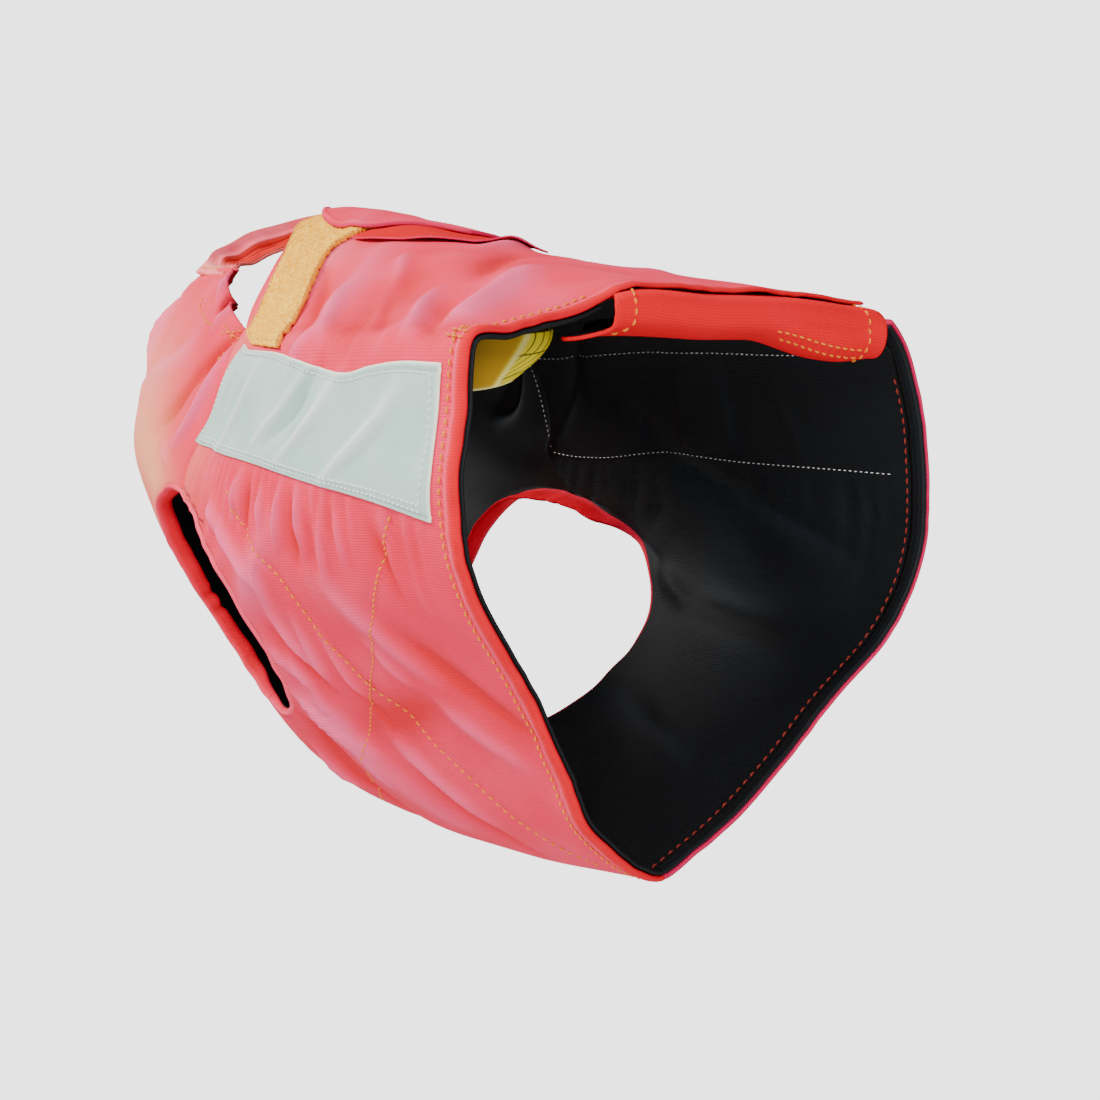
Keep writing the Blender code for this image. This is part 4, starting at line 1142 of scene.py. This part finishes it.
def strap():
    """Collar strap, pink outside and red inside, its near end sewn over the chest's top.
    Returns the stitch line across its foot."""
    at = np.linspace(0.0, len(STRAP_TABLE) - 1.0, 190)[:, None]
    t = np.linspace(0.0, 1.0, 34)
    rows = along_rows(STRAP_TABLE, 190)[:, None]
    outer, inner, arch = rows[..., :3], rows[..., 3:6], rows[..., 6] * MM
    flat = outer + (inner - outer) * t[:, None]
    lift = unit(np.cross(np.gradient(flat, axis=1), np.gradient(flat, axis=0)))
    ridge = 1.6 * MM * smear(t - 0.40, 0.10) * ease(at, 1.5, 3.0)
    wave = 0.5 * MM * np.sin(3.1 * at + 5 * t)
    middle = flat - lift * ((arch + wave) * 4 * t * (1 - t) - ridge)[..., None]
    foot = (1 - ease(at, 1.6, 2.8)) * (1 - ease(t, 0.90, 0.97))
    # the strap's outer faces get a little of the warm painted highlight all along
    marks = {"painted_light": 0.4 + 0 * foot, "across": t + 0 * foot, "foot": foot}
    plate("collar_strap_cloth", middle, STRAP, (M["strap_in"], M["outer"], M["outer"]), marks)
    top, face = over_plate(middle, STRAP)
    return top[13, 2:-2], face[13, 2:-2]


# Near edges of the tab and of the layer under it, as (v, u).
TAB = np.array([(0.480, -0.020), (0.540, 0.015), (0.580, 0.056), (0.605, 0.086),
                (0.650, 0.104), (0.700, 0.110), (0.750, 0.108), (0.790, 0.098),
                (0.840, 0.078), (0.955, 0.040)])
RED_FOLD = np.array([(0.385, 0.028), (0.433, 0.070), (0.502, 0.102), (0.574, 0.120),
                     (0.606, 0.126)])


def tab():
    """End of the collar strap on the nape, a rolled welt round its near edge, and the
    layer under it."""
    v = np.linspace(TAB[0, 0], TAB[-1, 0], 110)[:, None]
    near = through(TAB, v)
    u = UNDERLAP_U + (near - UNDERLAP_U) * np.linspace(0.0, 1.0, 54) ** 0.8
    v = v + (through(NECK_EDGE, np.abs(u)) - 0.002 - v) * ease(v, 0.72, 0.955)
    welt = smear((near - u) * AROUND - 2.0 * MM, 1.4 * MM) * ease(v, 0.58, 0.64)
    depth = 4.6 * MM + 0.5 * MM * ease(v, 0.60, 0.85) + 0.9 * MM * welt
    cloth("neck_tab_cloth", u, v, depth, STRAP, (M["outer"], M["red"], M["magenta"]))
    t = np.linspace(0.0, 1.0, 26)
    v = np.linspace(RED_FOLD[0, 0], RED_FOLD[-1, 0], 60)[:, None]
    u = -0.10 + (through(RED_FOLD, v) + 0.10) * t
    cloth("neck_tab_under_layer", u, v, (2.4 + 0.5 * np.sin(60 * v) * t) * MM, 0.9 * MM,
          (M["red"], M["red"], M["magenta"]))


def label():
    """Folded tape inside the rear opening, its free fold swung up at the lower corner."""
    at = np.linspace(0.0, 10.0, 110)[:, None]
    t = np.linspace(0.0, 1.0, 26)
    x, y, z = along_rows(LABEL, 110).T[..., None]
    fold = 1 - ease(np.abs(at - 5.0), 0.5, 4.6)
    middle = np.stack(np.broadcast_arrays(x + fold * 0.019 * t ** 2.2, y,
                                          z + t * (1.5 * fold - 18.5) * MM), axis=-1)
    split = 7.6 + 0.8 * t
    marks = {"ruled": ease(at, 4.4, 4.6) * (1 - ease(at, split - 0.05, split + 0.05)),
             "deep": ease(at, split, split + 0.3) + (1 - ease(at, 3.6, 4.4)),
             "pale": smear(at - split, 0.10) + ease(t, 0.955, 0.985)}
    plate("label_tape_fold", middle, 0.5 * MM, (M["label"],) * 3, marks)


# ---------------------------------------------------------------- stage
def area_light(name, place, aim, size, power, colour):
    """A soft rectangular light."""
    data = bpy.data.lights.new(name, "AREA")
    data.shape, data.size, data.energy, data.color = "SQUARE", size, power, colour
    obj = bpy.data.objects.new(name, data)
    obj.location = place
    obj.rotation_euler = (Vector(aim) - Vector(place)).to_track_quat("-Z", "Y").to_euler()
    bpy.context.scene.collection.objects.link(obj)


def camera():
    """The photo's view."""
    yaw, pitch, roll = np.radians((36.593, 8.601, -0.914))
    ahead = np.array((-np.sin(yaw) * np.cos(pitch), -np.cos(yaw) * np.cos(pitch),
                      -np.sin(pitch)))
    right = np.array((-np.cos(yaw), np.sin(yaw), 0.0))
    down = np.cross(ahead, right)
    across = np.cos(roll) * right + np.sin(roll) * down
    below = -np.sin(roll) * right + np.cos(roll) * down
    data = bpy.data.cameras.new("photo_view")
    data.sensor_width, data.lens, data.clip_start = 36.0, 47.494, 0.01
    place = (0.38537, 0.58239, -0.03721)
    obj = bpy.data.objects.new("photo_view", data)
    axes = Matrix((across.tolist(), (-below).tolist(), (-ahead).tolist())).transposed()
    obj.matrix_world = Matrix.Translation(place) @ axes.to_4x4()
    bpy.context.scene.collection.objects.link(obj)
    bpy.context.scene.camera = obj


PAPER = 3.05                # radiance of the pale surround as the camera sees it
AMBIENT = 0.54              # and what the surround gives the cloth


def paper_nodes(tree, lit):
    """Flat pale paper for the camera, and lit for every other ray."""
    path = tree.nodes.new("ShaderNodeLightPath")
    flat = tree.nodes.new("ShaderNodeEmission")
    flat.inputs["Color"].default_value = (1.0, 1.0, 1.0, 1.0)
    flat.inputs["Strength"].default_value = PAPER
    mix = tree.nodes.new("ShaderNodeMixShader")
    tree.links.new(path.outputs["Is Camera Ray"], mix.inputs[0])
    tree.links.new(lit, mix.inputs[1])
    tree.links.new(flat.outputs[0], mix.inputs[2])
    return mix.outputs[0]


def stage():
    """Pale floor far below, a pale surround and soft light from the left."""
    world = bpy.data.worlds.new("studio")
    world.use_nodes = True
    tree = world.node_tree
    back, out = tree.nodes["Background"], tree.nodes["World Output"]
    back.inputs["Color"].default_value = (1.0, 1.0, 1.0, 1.0)
    back.inputs["Strength"].default_value = AMBIENT
    tree.links.new(paper_nodes(tree, back.outputs[0]), out.inputs["Surface"])
    bpy.context.scene.world = world
    n = Nodes("floor_paper")
    n.bump(n.noise(3.0), 0.2 * MM, 0.1)
    paper = n.finish((222, 222, 222), 0.9, specular=0.0)
    out = n.tree.nodes["Material Output"]
    n.tree.links.new(paper_nodes(n.tree, n.shader.outputs[0]), out.inputs["Surface"])
    s, z = 30.0, -1.1
    floor = new_mesh("floor", [(-s, -s, z), (s, -s, z), (s, s, z), (-s, s, z)],
                     [(0, 1, 2, 3)], (paper,))
    area_light("key", (1.15, -1.15, 1.25), (0.0, -0.05, -0.1), 0.5, 72.0, (1.0, 0.96, 0.92))
    area_light("low", (1.1, 0.75, -0.55), (0.0, 0.0, -0.2), 0.9, 12.0, (1.0, 0.97, 1.0))
    area_light("front", (0.9, 1.2, 0.75), (0.0, 0.0, -0.1), 0.9, 28.0, (1.0, 1.0, 1.0))


# Each piece, the node that it replaces, if any, and its slot.  Sheets also have their width
# and length before they were sewn, their area where it isn't a rectangle, how they are held
# now, and what they rest on.
PIECES = (
    ("left_panel_cloth", "left_panel", "outer_cloth", (0.45, 0.36), 0.122, "hung", ()),
    ("right_panel_cloth", "right_panel", "outer_cloth", (0.41, 0.36), 0.105, "hung", ()),
    ("chest_panel_cloth", "chest_panel", "outer_cloth", (0.48, 0.30), 0.101, "hung", ()),
    ("left_lining_cloth", "left_lining", "lining_cloth", (0.30, 0.36), 0.081, "hung", ()),
    ("right_lining_cloth", "right_lining", "lining_cloth", (0.41, 0.36), 0.102, "hung", ()),
    ("chest_lining_cloth", "chest_lining", "lining_cloth", (0.47, 0.29), 0.096, "hung", ()),
    ("left_band_tape", "left_band", "reflective_cloth", (0.055, 0.215), None, "laid",
     ("left_panel_cloth",)),
    ("right_band_tape", "right_band", "reflective_cloth", (0.055, 0.270), None, "laid",
     ("right_panel_cloth",)),
    ("loop_strip_wool", "loop_strip", "loop_fastener", (0.048, 0.185), None, "laid",
     ("left_panel_cloth",)),
    ("rear_roll_cloth", "rear_roll", "outer_cloth", (0.065, 0.150), None, "folded", ()),
    ("collar_strap_cloth", "collar_strap", "outer_cloth", (0.025, 0.245), None, "hung", ()),
    ("neck_tab_cloth", "neck_tab", "outer_cloth", (0.052, 0.145), None, "laid",
     ("loop_strip_wool",)),
    ("neck_tab_under_layer", None, "red_binding", (0.045, 0.125), 0.0044, "laid",
     ("left_panel_cloth",)),
    ("label_tape_fold", "label", "label_tape", (0.0185, 0.095), None, "folded", ()),
    ("left_leg_binding_roll", "left_leg_binding", "red_binding"),
    ("right_leg_binding_roll", "right_leg_binding", "red_binding"),
    ("left_rear_hem_roll", "left_rear_hem", "red_binding"),
    ("right_rear_hem_roll", "right_rear_hem", "red_binding"),
    ("left_hem_lining", None, "lining_cloth"),
    ("right_hem_lining", None, "lining_cloth"),
)


def main():
    """Build the vest's pieces round the frame, hang each on the root body in place of the node
    it replaces, and light them.
    """
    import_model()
    make_materials()
    side_panels()
    chest()
    hems()
    leg_binding("left_leg_binding_roll", LEFT_HOLE, 1, LEFT_FACING)
    leg_binding("right_leg_binding_roll", RIGHT_HOLE, -1, RIGHT_FACING)
    bands()
    loop_strip()
    rolled = rear_roll()
    joint = strap()
    label()
    tab()
    all_stitches(rolled, joint)
    for name, node, slot, *sheet in PIECES:
        piece = bpy.data.objects[name]
        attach(piece, "root")
        if node:
            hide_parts(node)
    stage()
    camera()


main()
